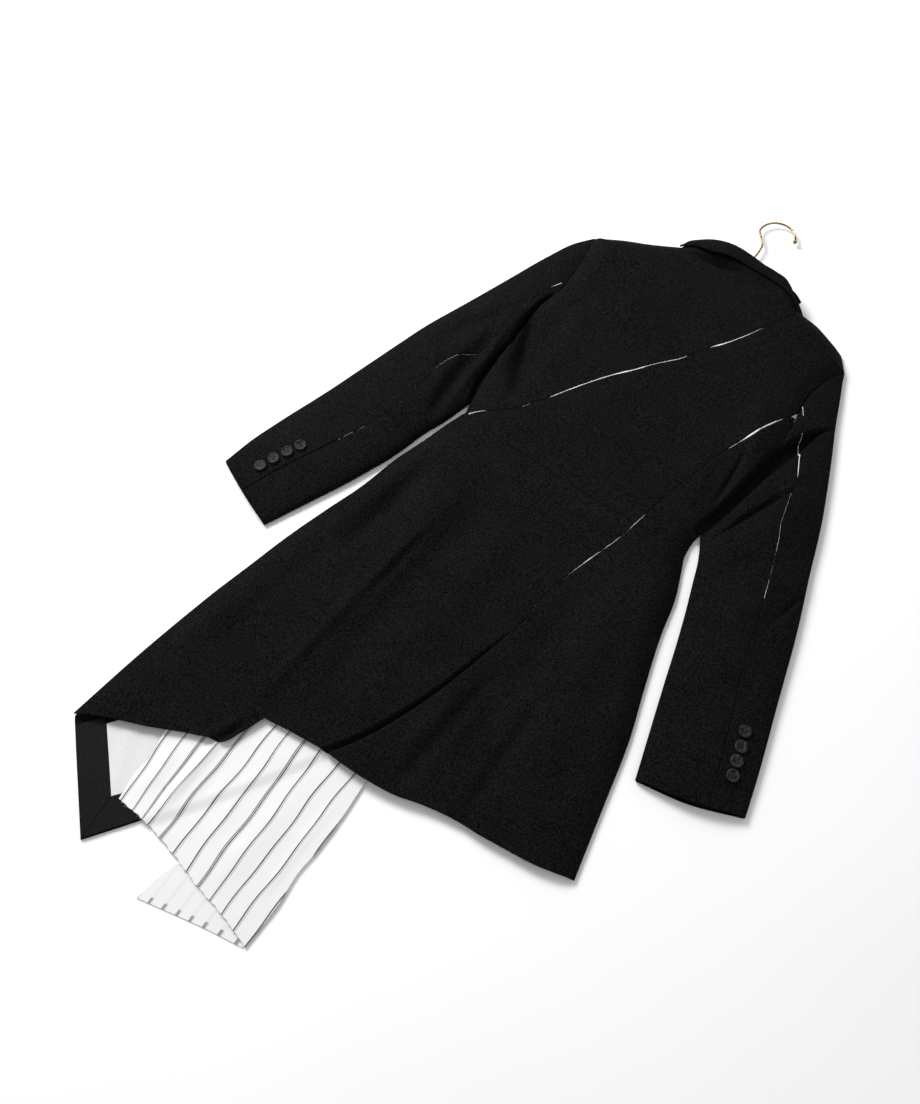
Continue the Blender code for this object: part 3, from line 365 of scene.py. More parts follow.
def cloth_object(name: str, outer: Array, inner: Array, uv: Array | None = None,
                 rounding: float = 0.3) -> bpy.types.Object:
    """A closed piece of cloth between an outer and an inner face, with a softened edge.

    The points of the border are drawn some of the thickness towards each other, so that the edge is
    rounded rather than square.

    Args:
        name: The object's name.
        outer: Grid of the outside.
        inner: Grid of the inside, of the same size.
        uv: Grid of places on the cloth; plan millimetres where it is left out.
        rounding: Share of the thickness by which each face's border gives way.

    Returns:
        The linked object.
    """
    rows, columns = outer.shape[:2]
    count = rows * columns
    border = np.zeros((rows, columns), bool)
    border[[0, -1], :] = border[:, [0, -1]] = True
    step = (inner - outer) * rounding
    outer, inner = outer + step * border[..., None], inner - step * border[..., None]
    index = np.arange(count).reshape(rows, columns)
    rim = np.concatenate((index[0, :], index[1:, -1], index[-1, -2::-1], index[-2:0:-1, 0]))
    ahead = np.roll(rim, -1)
    up = np.cross(outer[0, 1] - outer[0, 0], outer[1, 0] - outer[0, 0]) @ (outer[0, 0] - inner[0, 0]) > 0
    top, under = grid_quads(rows, columns), grid_quads(rows, columns, count)
    sides = np.stack((rim, rim + count, ahead + count, ahead), axis=-1)
    faces = (np.vstack((top, under[:, ::-1], sides)) if up
             else np.vstack((top[:, ::-1], under, sides[:, ::-1])))
    places = outer[..., :2] if uv is None else uv
    both = np.tile(places.reshape(-1, 2), (2, 1)) * MM
    return mesh_object(name, np.vstack((outer.reshape(-1, 3), inner.reshape(-1, 3))), faces.tolist(), both)


def tube_object(name: str, route: Array, radius: Array, sides: int = 16) -> bpy.types.Object:
    """A closed round tube whose circle of varying radius is carried along a route in a level plane.

    Args:
        name: The object's name.
        route: Centre line.
        radius: Radius at each point.
        sides: Sides of the circle.

    Returns:
        The linked object.
    """
    run = np.gradient(route, axis=0)
    run /= np.linalg.norm(run, axis=1, keepdims=True) + 1e-12
    up = np.broadcast_to((0.0, 0.0, 1.0), run.shape)
    aside = np.cross(run, up)
    aside /= np.linalg.norm(aside, axis=1, keepdims=True) + 1e-12
    over = np.cross(aside, run)
    turn = np.linspace(0.0, 2 * math.pi, sides, endpoint=False)[None, :, None]
    spoke = np.cos(turn) * aside[:, None] + np.sin(turn) * over[:, None]
    ring = route[:, None] + radius[:, None, None] * spoke
    rows = len(route)
    index = np.arange(rows * sides).reshape(rows, sides)
    ahead = np.roll(index, -1, axis=1)
    quads = np.stack((index[:-1], ahead[:-1], ahead[1:], index[1:]), axis=-1).reshape(-1, 4)
    points = np.vstack((ring.reshape(-1, 3), route[:1], route[-1:]))
    first, last = rows * sides, rows * sides + 1
    start = np.stack((index[0], np.full(sides, first), ahead[0]), axis=-1)
    end = np.stack((index[-1], ahead[-1], np.full(sides, last)), axis=-1)
    return mesh_object(name, points, quads.tolist() + start.tolist() + end.tolist())


def new_material(name: str) -> tuple[bpy.types.Material, bpy.types.NodeTree, bpy.types.Node]:
    """A material, its node tree and its shader.

    Args:
        name: Its name.

    Returns:
        The three of them.
    """
    material = bpy.data.materials.new(name)
    material.use_nodes = True
    return material, material.node_tree, material.node_tree.nodes["Principled BSDF"]


def put(node: bpy.types.Node, **values: object) -> None:
    """Sets a node's inputs by name, where an underscore stands for a space."""
    for label, value in values.items():
        node.inputs[label.replace("_", " ")].default_value = value


def add_ramp(tree: bpy.types.NodeTree, factor: bpy.types.NodeSocket, dark: Tone, light: Tone,
             ends: tuple[float, float] = (0.0, 1.0)) -> bpy.types.NodeSocket:
    """A ramp between two tones.

    Args:
        tree: The material's nodes.
        factor: What drives the ramp.
        dark: Tone at its low end.
        light: Tone at its high end.
        ends: Places of the two ends.

    Returns:
        The ramp's colour.
    """
    ramp = tree.nodes.new('ShaderNodeValToRGB')
    for element, place, tone in zip(ramp.color_ramp.elements, ends, (dark, light)):
        element.position, element.color = place, (*tone, 1.0)
    tree.links.new(factor, ramp.inputs["Fac"])
    return ramp.outputs["Color"]


class Weave:
    """Shader node groups that more than one finish uses, each made once."""

    def __init__(self) -> None:
        """Builds the groups."""
        self.twill = self._twill()
        self.mottle = self._mottle()

    @staticmethod
    def _group(name: str, inputs: tuple[tuple[str, float], ...], output: str) -> bpy.types.NodeTree:
        """A group with number inputs and one number output, and its two end nodes.

        Args:
            name: The group's name.
            inputs: Label and value of each input.
            output: Label of the output.

        Returns:
            The group.
        """
        group = bpy.data.node_groups.new(name, 'ShaderNodeTree')
        for label, value in inputs:
            socket = group.interface.new_socket(label, in_out='INPUT', socket_type='NodeSocketFloat')
            socket.default_value = value
        group.interface.new_socket(output, in_out='OUTPUT', socket_type='NodeSocketFloat')
        group.nodes.new('NodeGroupInput').name = "in"
        group.nodes.new('NodeGroupOutput').name = "out"
        return group

    def _twill(self) -> bpy.types.NodeTree:
        """Height of a fine twill: two crossed sets of threads, broken up by a slow noise along them.

        Returns:
            The group.
        """
        group = self._group("twill height", (("Threads", 1400.0), ("Slub", 0.35)), "Height")
        nodes, links = group.nodes, group.links
        place = nodes.new('ShaderNodeUVMap')
        place.uv_map = "cloth"
        split = nodes.new('ShaderNodeSeparateXYZ')
        links.new(place.outputs["UV"], split.inputs[0])
        waves = []
        for weight_x, weight_y in ((1.0, 0.5), (0.22, -1.0)):
            first = self.math(group, 'MULTIPLY', split.outputs[0], weight_x)
            second = self.math(group, 'MULTIPLY', split.outputs[1], weight_y)
            total = self.math(group, 'ADD', first, second)
            scaled = self.math(group, 'MULTIPLY', total, nodes["in"].outputs["Threads"])
            waves.append(self.math(group, 'SINE', scaled))
        product = self.math(group, 'MULTIPLY', waves[0], waves[1])
        noise = nodes.new('ShaderNodeTexNoise')
        put(noise, Scale=420.0, Detail=3.0)
        links.new(place.outputs["UV"], noise.inputs["Vector"])
        slub = self.math(group, 'MULTIPLY', noise.outputs["Fac"], nodes["in"].outputs["Slub"])
        thread = self.math(group, 'MULTIPLY', product, 0.35)
        total = self.math(group, 'ADD', thread, slub)
        links.new(total, nodes["out"].inputs["Height"])
        return group

    def _mottle(self) -> bpy.types.NodeTree:
        """Uneven tone of cloth: a broad noise and a fibre-fine one, added and kept near one half.

        Returns:
            The group.
        """
        group = self._group("cloth mottle", (("Broad", 14.0), ("Fine", 900.0)), "Tone")
        nodes, links = group.nodes, group.links
        place = nodes.new('ShaderNodeTexCoord')
        tones = []
        for label, detail in (("Broad", 3.0), ("Fine", 2.0)):
            noise = nodes.new('ShaderNodeTexNoise')
            put(noise, Detail=detail)
            links.new(place.outputs["Object"], noise.inputs["Vector"])
            links.new(nodes["in"].outputs[label], noise.inputs["Scale"])
            tones.append(noise.outputs["Fac"])
        broad = self.math(group, 'MULTIPLY', tones[0], 0.12)
        fine = self.math(group, 'MULTIPLY', tones[1], 0.88)
        links.new(self.math(group, 'ADD', broad, fine), nodes["out"].inputs["Tone"])
        return group

    @staticmethod
    def math(tree: bpy.types.NodeTree, operation: str, first: object, second: object = None) -> object:
        """A Math node; a number goes on its socket and anything else is linked. Returns its output.

        Args:
            tree: Where the node goes.
            operation: What it does.
            first: A number or socket.
            second: A number or socket, if any.

        Returns:
            The node's output.
        """
        node = tree.nodes.new('ShaderNodeMath')
        node.operation = operation
        for socket, value in zip(node.inputs, (first, second)):
            if isinstance(value, (int, float)):
                socket.default_value = value
            elif value is not None:
                tree.links.new(value, socket)
        return node.outputs[0]


@dataclass(frozen=True)
class ClothFinish:
    """A woven finish: two tones, its threads, and how it takes light."""

    name: str
    dark: Tone
    light: Tone
    roughness: float
    sheen: float
    threads: float
    depth: float
    slub: float = 0.35
    fine: float = 900.0
    specular: float = 0.25

    def build(self, weave: Weave) -> bpy.types.Material:
        """The material of the finish.

        Args:
            weave: The shared node groups.

        Returns:
            A material whose colour follows the mottle, with the twill's height as its bump.
        """
        material, tree, shader = new_material(self.name)
        nodes, links = tree.nodes, tree.links
        mottle = nodes.new('ShaderNodeGroup')
        mottle.node_tree = weave.mottle
        put(mottle, Fine=self.fine)
        colour = add_ramp(tree, mottle.outputs["Tone"], self.dark, self.light, (0.36, 0.64))
        twill = nodes.new('ShaderNodeGroup')
        twill.node_tree = weave.twill
        put(twill, Threads=self.threads, Slub=self.slub)
        bump = nodes.new('ShaderNodeBump')
        put(bump, Distance=self.depth * MM, Strength=1.0)
        links.new(twill.outputs["Height"], bump.inputs["Height"])
        links.new(bump.outputs["Normal"], shader.inputs["Normal"])
        links.new(colour, shader.inputs["Base Color"])
        put(shader, Roughness=self.roughness, Sheen_Weight=self.sheen, Sheen_Roughness=0.5,
            Specular_IOR_Level=self.specular)
        return material


@dataclass(frozen=True)
class StripedFinish:
    """White shirting with thin ticking stripes at whole numbers of its own U place.

    Each stripe is a dark line with a paler one beside it. V runs in metres from the free edge where there are
    ticks, and elsewhere it is the strength of a second dark line, for the doubled stripes.
    """

    name: str
    ground: Tone = (0.78, 0.78, 0.78)
    ink: Tone = (0.02, 0.02, 0.02)
    strength: float = 1.0
    tick: float = 0.0

    def build(self, weave: Weave) -> bpy.types.Material:
        """The material of the finish.

        Args:
            weave: The shared node groups.

        Returns:
            The striped material; where tick is above zero the stripes are dark only that near the edge.
        """
        material, tree, shader = new_material(self.name)
        nodes, links = tree.nodes, tree.links
        place = nodes.new('ShaderNodeUVMap')
        place.uv_map = "stripes"
        split = nodes.new('ShaderNodeSeparateXYZ')
        links.new(place.outputs["UV"], split.inputs[0])
        math_of = weave.math
        lines = []
        for offset, half, dark in ((0.0, 0.034, 1.0), (-0.10, 0.022, 0.5), (0.095, 0.028, 0.9)):
            moved = math_of(tree, 'ADD', split.outputs[0], 0.5 + offset)
            part = math_of(tree, 'FRACT', moved)
            away = math_of(tree, 'ABSOLUTE', math_of(tree, 'SUBTRACT', part, 0.5))
            band = nodes.new('ShaderNodeMapRange')
            band.interpolation_type = 'SMOOTHSTEP'
            put(band, From_Min=half * 0.7, From_Max=half * 1.5, To_Min=dark, To_Max=0.0)
            links.new(away, band.inputs["Value"])
            lines.append(band.outputs["Result"])
        if not self.tick:
            lines[2] = math_of(tree, 'MULTIPLY', lines[2], split.outputs[1])
        mask = math_of(tree, 'MAXIMUM', math_of(tree, 'MAXIMUM', lines[0], lines[1]), lines[2])
        noise = nodes.new('ShaderNodeTexNoise')
        put(noise, Scale=700.0)
        links.new(nodes.new('ShaderNodeTexCoord').outputs["Object"], noise.inputs["Vector"])
        uneven = math_of(tree, 'MULTIPLY_ADD', noise.outputs["Fac"], 0.5)
        uneven.node.inputs[2].default_value = 0.7
        mask = math_of(tree, 'MULTIPLY', mask, uneven)
        if self.tick:
            near = nodes.new('ShaderNodeMapRange')
            near.interpolation_type = 'SMOOTHSTEP'
            put(near, From_Min=self.tick, From_Max=self.tick * 1.15, To_Min=1.0, To_Max=self.strength)
            links.new(split.outputs[1], near.inputs["Value"])
            mask = math_of(tree, 'MULTIPLY', mask, near.outputs["Result"])
        else:
            mask = math_of(tree, 'MULTIPLY', mask, self.strength)
        mix = nodes.new('ShaderNodeMix')
        mix.data_type = 'RGBA'
        mix.clamp_factor = True
        put(mix, A=(*self.ground, 1.0), B=(*self.ink, 1.0))
        links.new(mask, mix.inputs["Factor"])
        links.new(mix.outputs["Result"], shader.inputs["Base Color"])
        twill = nodes.new('ShaderNodeGroup')
        twill.node_tree = weave.twill
        put(twill, Threads=9000.0)
        bump = nodes.new('ShaderNodeBump')
        put(bump, Distance=0.05 * MM)
        links.new(twill.outputs["Height"], bump.inputs["Height"])
        links.new(bump.outputs["Normal"], shader.inputs["Normal"])
        put(shader, Roughness=0.75, Sheen_Weight=0.1)
        return material


@dataclass(frozen=True)
class HardFinish:
    """Horn, metal, wood or lacquer: two tones in streaks, gloss and fine scratches; on the horn the light
    streaks are partly painted glints.
    """

    name: str
    dark: Tone
    light: Tone
    roughness: tuple[float, float]
    metallic: float
    coat: float
    streak: float
    stretch: tuple[float, float, float]
    scratch: float
    specular: float = 0.5

    def build(self) -> bpy.types.Material:
        """The material of the finish, with streaks stretched along the piece.

        Returns:
            The material.
        """
        material, tree, shader = new_material(self.name)
        nodes, links = tree.nodes, tree.links
        place = nodes.new('ShaderNodeTexCoord')
        mapping = nodes.new('ShaderNodeMapping')
        put(mapping, Scale=self.stretch)
        links.new(place.outputs["Object"], mapping.inputs["Vector"])
        noise = nodes.new('ShaderNodeTexNoise')
        put(noise, Scale=self.streak, Detail=5.0)
        links.new(mapping.outputs["Vector"], noise.inputs["Vector"])
        colour = add_ramp(tree, noise.outputs["Fac"], self.dark, self.light, (0.35, 0.68))
        links.new(colour, shader.inputs["Base Color"])
        gloss = nodes.new('ShaderNodeMapRange')
        gloss.inputs["To Min"].default_value, gloss.inputs["To Max"].default_value = self.roughness
        links.new(noise.outputs["Fac"], gloss.inputs["Value"])
        links.new(gloss.outputs["Result"], shader.inputs["Roughness"])
        bump = nodes.new('ShaderNodeBump')
        put(bump, Distance=self.scratch * MM)
        links.new(noise.outputs["Fac"], bump.inputs["Height"])
        links.new(bump.outputs["Normal"], shader.inputs["Normal"])
        put(shader, Metallic=self.metallic, Specular_IOR_Level=self.specular, Coat_Weight=self.coat,
            Coat_Roughness=0.12)
        return material


class Wardrobe:
    """Every finish of the jacket, built once and kept by name."""

    def __init__(self) -> None:
        """Builds the node groups and the materials."""
        weave = Weave()
        cloth = (
            ClothFinish("black wool", (0.0010, 0.0010, 0.0010), (0.0098, 0.0098, 0.0099), 0.95, 0.0,
                        5200.0, 0.10, fine=520.0, specular=0.04),
            # Black facing: its tones are set lighter than the wool's as painted light, for the light and
            # sheen that the facing catches.
            ClothFinish("black facing", (0.007, 0.007, 0.0072), (0.013, 0.013, 0.0132), 0.9, 0.0,
                        5200.0, 0.08, fine=520.0, specular=0.06),
            ClothFinish("grey satin lining", (0.60, 0.60, 0.60), (0.70, 0.70, 0.70), 0.5, 0.05,
                        9000.0, 0.03, 0.2),
            ClothFinish("white seam lining", (0.74, 0.74, 0.74), (0.92, 0.92, 0.92), 0.8, 0.1,
                        4200.0, 0.2, 0.6),
            ClothFinish("white thread", (0.78, 0.78, 0.78), (0.95, 0.95, 0.95), 0.8, 0.1, 6000.0, 0.05),
            ClothFinish("black thread", (0.012, 0.012, 0.013), (0.03, 0.03, 0.032), 0.7, 0.05, 6000.0, 0.05))
        striped = (StripedFinish("striped shirting"),
                   StripedFinish("striped shirting, reverse", strength=0.10, tick=6.0 * MM))
        hard = (
            # Black horn: random streaks of horn tone, whose light end is raised to paint glints on the
            # buttons.
            HardFinish("black horn", (0.001, 0.001, 0.0011), (0.045, 0.045, 0.044), (0.42, 0.6), 0.0, 0.0,
                       520.0, (1.0, 0.35, 1.0), 0.05, 0.10),
            HardFinish("brass wire", (0.07, 0.045, 0.02), (0.62, 0.42, 0.16), (0.18, 0.36), 1.0, 0.0, 260.0,
                       (1.0, 1.0, 1.0), 0.01),
            HardFinish("dark bar", (0.015, 0.011, 0.008), (0.05, 0.036, 0.026), (0.35, 0.55), 0.0, 0.3, 60.0,
                       (0.15, 1.0, 1.0), 0.05))
        self.by_name = {finish.name: finish.build(weave) for finish in (*cloth, *striped)}
        self.by_name.update({finish.name: finish.build() for finish in hard})

    def dress(self, piece: bpy.types.Object, finish: str, slot: str, *nodes: str) -> bpy.types.Object:
        """Gives a piece its finish and its body, and hides the nodes that it stands for.

        Args:
            piece: The finished object.
            finish: Name of the finish.
            slot: Not used.
            *nodes: CAD nodes that the piece replaces.

        Returns:
            The same object.
        """
        piece.data.materials.clear()
        piece.data.materials.append(self.by_name[finish])
        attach(piece, "root")
        if nodes:
            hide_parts(*nodes)
        faces = len(piece.data.polygons)
        LOG.info("%s: %d faces, %s", piece.name, faces, finish)
        return piece


def declare_sheet(outer: Array) -> None:
    """Works out the cut of a piece of cloth from the lengths of its longest row and column; nothing is done
    with it.

    A piece that is far wider at one end is given the width at which it fills FILLED of its rectangle.

    Args:
        outer: Grid of its outside, in millimetres.
    """
    across = np.linalg.norm(np.diff(outer, axis=1), axis=-1).sum(axis=1).max() * MM
    down = np.linalg.norm(np.diff(outer, axis=0), axis=-1).sum(axis=0).max() * MM
    side, fall = outer[:-1, 1:] - outer[:-1, :-1], outer[1:, :-1] - outer[:-1, :-1]
    area = np.linalg.norm(np.cross(side, fall), axis=-1).sum() * MM * MM
    width, length = sorted((round(across, 3), round(down, 3)))
    width = min(width, round(area / (FILLED * length), 3))
    width, length = max(width, NARROWEST), max(length, NARROWEST)


@dataclass(frozen=True)
class Outline:
    """Outline of the body, x and y of each station."""

    left_shoulder: Pairs = ((-93, 567), (-129, 546.5), (-166.5, 528), (-198, 508))
    right_shoulder: Pairs = ((103, 564), (117, 562), (151.5, 549), (174.5, 536), (193, 513.5))
    neckline: Pairs = ((-93, 567), (-52, 577), (-4, 581), (52, 577), (103, 564))
    left_armhole: Pairs = (
        (-198, 508), (-189.5, 472), (-184, 435), (-182, 396), (-184, 352), (-183.5, 305), (-181, 262),
        (-176, 212), (-168, 180))
    left_underarm: Pairs = ((-168, 180), (-166, 171), (-164, 164.5))
    right_armhole_top: Pairs = ((193, 513.5), (181, 480), (175, 442), (178, 412))
    right_armhole_low: Pairs = ((178, 412), (184, 368), (188, 318), (183, 258), (170, 194))
    right_underarm: Pairs = ((170, 194), (168.5, 182), (169, 171))
    left_side: Pairs = (
        (-164.5, 160), (-168.5, 147), (-173, 130), (-179, 102), (-191, 53), (-199, 0), (-212, -52),
        (-224, -104), (-241, -207), (-257, -331), (-265, -426))
    right_side: Pairs = (
        (169, 169), (172, 153), (177, 141), (193, 100), (204, 53.5), (225, -15), (245, -76), (263, -152),
        (283, -238))
    left_hem: Pairs = (
        (-265, -426), (-232, -408), (-186, -387), (-148, -367), (-127, -357.5), (-107, -348.5), (-102, -336),
        (-105, -324), (-106.5, -307), (-81, -300.5), (-46, -294.5), (-13, -290))
    right_hem: Pairs = (
        (-13, -290), (11, -290), (54, -286.5), (80, -281.5), (106, -273), (152, -263), (177, -261),
        (201, -257.5), (242, -251), (283, -238))
    waist: Pairs = (
        (-164.5, 162), (-150, 157), (-140, 155.5), (-107, 152), (-60, 150.5), (0, 149.5), (60, 149.8),
        (98, 151.5), (118, 153), (138, 158), (154, 165), (169, 170))
    # Opened seams, and how far their edges stand apart by share of the length
    diagonal: Pairs = (
        (-158, 162.5), (-144, 171.5), (-131, 179.5), (-111, 199), (-92, 227), (-69, 268), (-40, 315),
        (-22, 338), (-14, 350), (-3, 366), (14, 387), (24, 404), (33, 421), (49, 445), (65, 474), (76, 499),
        (83, 514), (87, 524), (91, 533), (98, 552), (103, 564))
    diagonal_gap: Pairs = (
        (0, 1.6), (0.03, 1.5), (0.048, 0.9), (0.056, 0.3), (0.131, 0.3), (0.142, 1), (0.165, 1),
        (0.175, 0.5), (0.215, 0.6), (0.225, 1.3), (0.236, 1.8), (0.256, 1.75), (0.266, 1.5), (0.28, 2.1),
        (0.295, 2.2), (0.315, 2.1), (0.329, 1.6), (0.344, 1.9), (0.383, 2.2), (0.398, 1.75), (0.413, 2.4),
        (0.437, 3), (0.452, 2.4), (0.468, 2), (0.486, 2.6), (0.501, 1.45), (0.531, 1.35), (0.55, 1.6),
        (0.57, 1.7), (0.59, 1.5), (0.61, 1.3), (0.625, 0.3), (0.676, 0.3), (0.691, 1.6), (0.709, 3.1),
        (0.727, 2.5), (0.752, 1.8), (0.784, 1.85), (0.804, 1.7), (0.819, 1.2), (0.847, 1), (0.879, 0.3),
        (0.95, 0.3), (0.967, 1), (0.989, 1), (1, 0.4))
    side_back: Pairs = (
        (178, 412), (172, 396), (165, 382), (155, 357), (147, 335), (139, 315), (131, 294), (124, 261),
        (115, 222), (107, 186), (104.5, 170), (102, 152.8))
    side_back_gap: Pairs = (
        (0, 1), (0.03, 0.9), (0.045, 0.4), (0.09, 0.4), (0.11, 1.3), (0.146, 2.4), (0.176, 3),
        (0.206, 2.5), (0.236, 2.1), (0.266, 3.6), (0.297, 3.3), (0.327, 1.9), (0.357, 1), (0.387, 1.3),
        (0.417, 0.9), (0.44, 0.3), (0.92, 0.3), (0.95, 1), (1, 1.4))
    skirt: Pairs = (
        (102, 150.8), (97, 123), (85, 77), (73, 25), (69, -8), (70, -27), (60, -83), (39, -172), (12, -247),
        (-13, -290))
    skirt_gap: Pairs = (
        (0, 1.4), (0.015, 1.2), (0.03, 0.85), (0.045, 0.8), (0.06, 1), (0.075, 1.3), (0.106, 1.3),
        (0.121, 0.85), (0.136, 1.15), (0.151, 1.4), (0.166, 2.1), (0.181, 1.5), (0.196, 1.2), (0.211, 1.15),
        (0.227, 1), (0.241, 0.85), (0.257, 0.4), (0.33, 0.3), (0.36, 0.75), (0.38, 0.3), (1, 0.3))

    @property
    def left_armhole_line(self) -> Array:
        """The left armhole, sampled as the panels on both sides of it use it."""
        return smooth(self.left_armhole, 14)

    @property
    def left_body_line(self) -> Array:
        """The left edge of the bodice, from the shoulder's tip past the armhole to the waist."""
        return np.vstack((self.left_armhole_line, np.array(self.left_underarm, float)[1:]))

    @property
    def right_armhole_line(self) -> Array:
        """The right armhole, in its two stretches."""
        return np.vstack((smooth(self.right_armhole_top, 6), smooth(self.right_armhole_low, 9)[1:]))

    def waist_row(self, x: Array, above: float) -> Array:
        """The waist seam at places across, moved up or down by its own half gap."""
        seam = smooth(self.waist, 120)
        return np.column_stack((x, np.interp(x, seam[:, 0], seam[:, 1]) + above))


@dataclass(frozen=True)
class BackSurface:
    """Height of the outside of the back over the surface that the jacket lies on."""

    outline: Outline
    roll: float = 34.0
    crown: Pairs = (
        (-430, 5.5), (-300, 7), (-230, 9), (-120, 12), (0, 14), (155, 14), (300, 18), (420, 20),
        (520, 21), (600, 22))
    folds: tuple[Fold, ...] = (
        Fold(-98, 110, -106, -290, 26, 5), Fold(-150, 40, -112, -150, 22, -3.5),
        Fold(-60, 130, -66, -220, 20, -5.5), Fold(0, 120, -20, -260, 28, 4.5),
        Fold(140, 120, 190, -250, 30, 5.5), Fold(104, 60, 112, -270, 20, -5.5),
        Fold(-196, -60, -222, -380, 20, 2.5), Fold(-178, 360, -138, 180, 13, -4.5),
        Fold(-120, 400, -112, 230, 22, 2.5), Fold(150, 330, 160, 190, 18, -4.5),
        Fold(120, 420, 176, 300, 16, 4), Fold(20, 540, 90, 520, 14, 2))
    creases: tuple[Fold, ...] = (
        Fold(-104, 20, -113, -330, 5, 0.9), Fold(-90, -10, -100, -300, 7, -0.8),
        Fold(12, 568, 74, 556, 4, -0.9), Fold(20, 556, 86, 540, 5, 0.8), Fold(150, 360, 168, 200, 5, -0.9),
        Fold(126, 300, 146, 180, 6, 0.9), Fold(112, 230, 104, 160, 5, -0.6),
        Fold(-150, 300, -132, 190, 6, 0.9), Fold(-136, 330, -116, 230, 7, -0.9),
        Fold(44, -60, 70, -270, 9, 0.7), Fold(150, -40, 176, -240, 9, -0.8),
        Fold(-170, -60, -200, -300, 8, -0.8), Fold(-20, 60, -40, -120, 8, -0.6),
        Fold(-60, -160, -66, -290, 8, -0.9), Fold(-96, 14, -103, -140, 5, 2.8),
        Fold(-102, -90, -109, -310, 7, 3.6), Fold(-87, 14, -95, -140, 4, -2.4),
        Fold(-146, 100, -160, -110, 13, -7.5), Fold(84, -80, 72, -300, 10, -6.5),
        Fold(140, -70, 155, -280, 10, -6), Fold(-158, 378, -120, 188, 12, -4.5),
        Fold(-136, -385, -104, -300, 5, 3.5), Fold(-128, -390, -96, -305, 3.5, -3),
        Fold(-46, 550, 60, 558, 5, -1.6))
    valleys: tuple[Pairs, ...] = (
        ((-184, 350, 5, 0), (-171, 316, 9, 11), (-156, 284, 12, 15), (-143, 257, 12, 14), (-132, 226, 10, 9),
         (-126, 197, 7, 0)),
        ((152, 324, 1.5, 0), (156, 308, 2.2, 3), (159, 285, 3, 5), (161, 262, 3.5, 5), (163, 236, 3, 3)),
        ((67, -55, 1.2, 0), (60, -83, 1.8, 3), (39, -172, 2.4, 6), (12, -247, 2.8, 7), (-10, -286, 2.8, 7),
         (-16, -294, 2.8, 7)),
        ((-62, 553, 4, 0), (-44, 555, 5, 7), (-24, 560, 5.5, 10), (-4, 563, 5, 8), (20, 563, 3.5, 4),
         (60, 559, 3, 3), (84, 548, 3, 0)))
    roll_power: float = 2.2
    armhole_lift: float = 13.4
    armhole_base: float = 2.5
    armhole_tops: tuple[float, float] = (505.0, 512.0)
    armhole_run: float = 331.0
    armhole_arch: float = 0.75
    waist_ditch: float = 0.9
    waist_ditch_width: float = 1.1
    ditch_depth: float = 0.4
    ditch_width: float = 1.0

    def top(self, x: Array, y: Array) -> Array:
        """Height of the outside of the back.

        What it lies on, plus the cloth, plus a crown that rolls up from the closed sides over the roll's
        width as 1 - (1 - s)^roll_power, plus a lift that runs along each armhole as an arch, plus folds,
        creases and an uneven lie, less a narrow ditch at each seam and the valleys.

        Args:
            x: Places across.
            y: Places along.

        Returns:
            Heights in millimetres.
        """
        cut = self.outline
        left = np.vstack((smooth(cut.left_shoulder, 7), cut.left_body_line[1:], smooth(cut.left_side, 21)))
        right = np.vstack((smooth(cut.right_shoulder, 7), cut.right_armhole_line[1:],
                           np.array(cut.right_underarm, float)[1:], smooth(cut.right_side, 15)))
        hem_line = np.vstack((smooth(cut.left_hem, 25), smooth(cut.right_hem, 14)[1:]))
        to_side = np.minimum(distance(x, y, left), distance(x, y, right))
        rolled = 1.0 - (1.0 - np.clip(to_side / self.roll, 0.0, 1.0)) ** self.roll_power
        rows = np.array(self.crown)
        crown = np.interp(y, rows[:, 0], rows[:, 1])
        to_hem = distance(x, y, hem_line)
        hem = 0.8 + 0.2 * ease(to_hem / 90.0)
        down = np.clip((np.where(x < 0.0, *self.armhole_tops) - y) / self.armhole_run, 0.0, 1.0)
        armhole = (2.0 * np.sqrt(down * (1.0 - down))) ** self.armhole_arch
        raised = self.armhole_base + (self.armhole_lift - self.armhole_base) * (1.0 - rolled)
        tail = ease((-150.0 - y) / 80.0) * ease((110.0 - x) / 60.0)
        below = Layer.FRONT.value + CLOSED + 3.4 * tail
        detail = folds_at(x, y, self.folds) + folds_at(x, y, self.creases) + ripple(x, y, 0.55)
        level = (below + Layer.WOOL.value + armhole * raised + rolled * (crown * hem + detail)
                 - self.ditches(x, y))
        carved = level - valleys_at(x, y, self.valleys) - valleys_at(x, y, ARMHOLE_VALLEYS, ARMHOLE_STEEP)
        return np.maximum(carved, np.minimum(level, below + Layer.WOOL.value))

    def ditches(self, x: Array, y: Array) -> Array:
        """Depth of the narrow ditches where the cloth turns in at the seams: exp(-(d / width)^2) each.

        Args:
            x: Places across.
            y: Places along.

        Returns:
            Depths in millimetres.
        """
        cut = self.outline
        waist = smooth(cut.waist, 60)
        total = self.waist_ditch * np.exp(-(distance(x, y, waist) / self.waist_ditch_width) ** 2)
        for line in (smooth(cut.diagonal, 60), smooth(cut.side_back, 40), smooth(cut.skirt, 60)):
            total = np.maximum(total, np.exp(-(distance(x, y, line) / self.ditch_width) ** 2))
        return total * self.ditch_depth

    def lift(self, plan: Array) -> Array:
        """A plan grid lifted to the outside of the back."""
        return np.dstack((plan, self.top(plan[..., 0], plan[..., 1])))


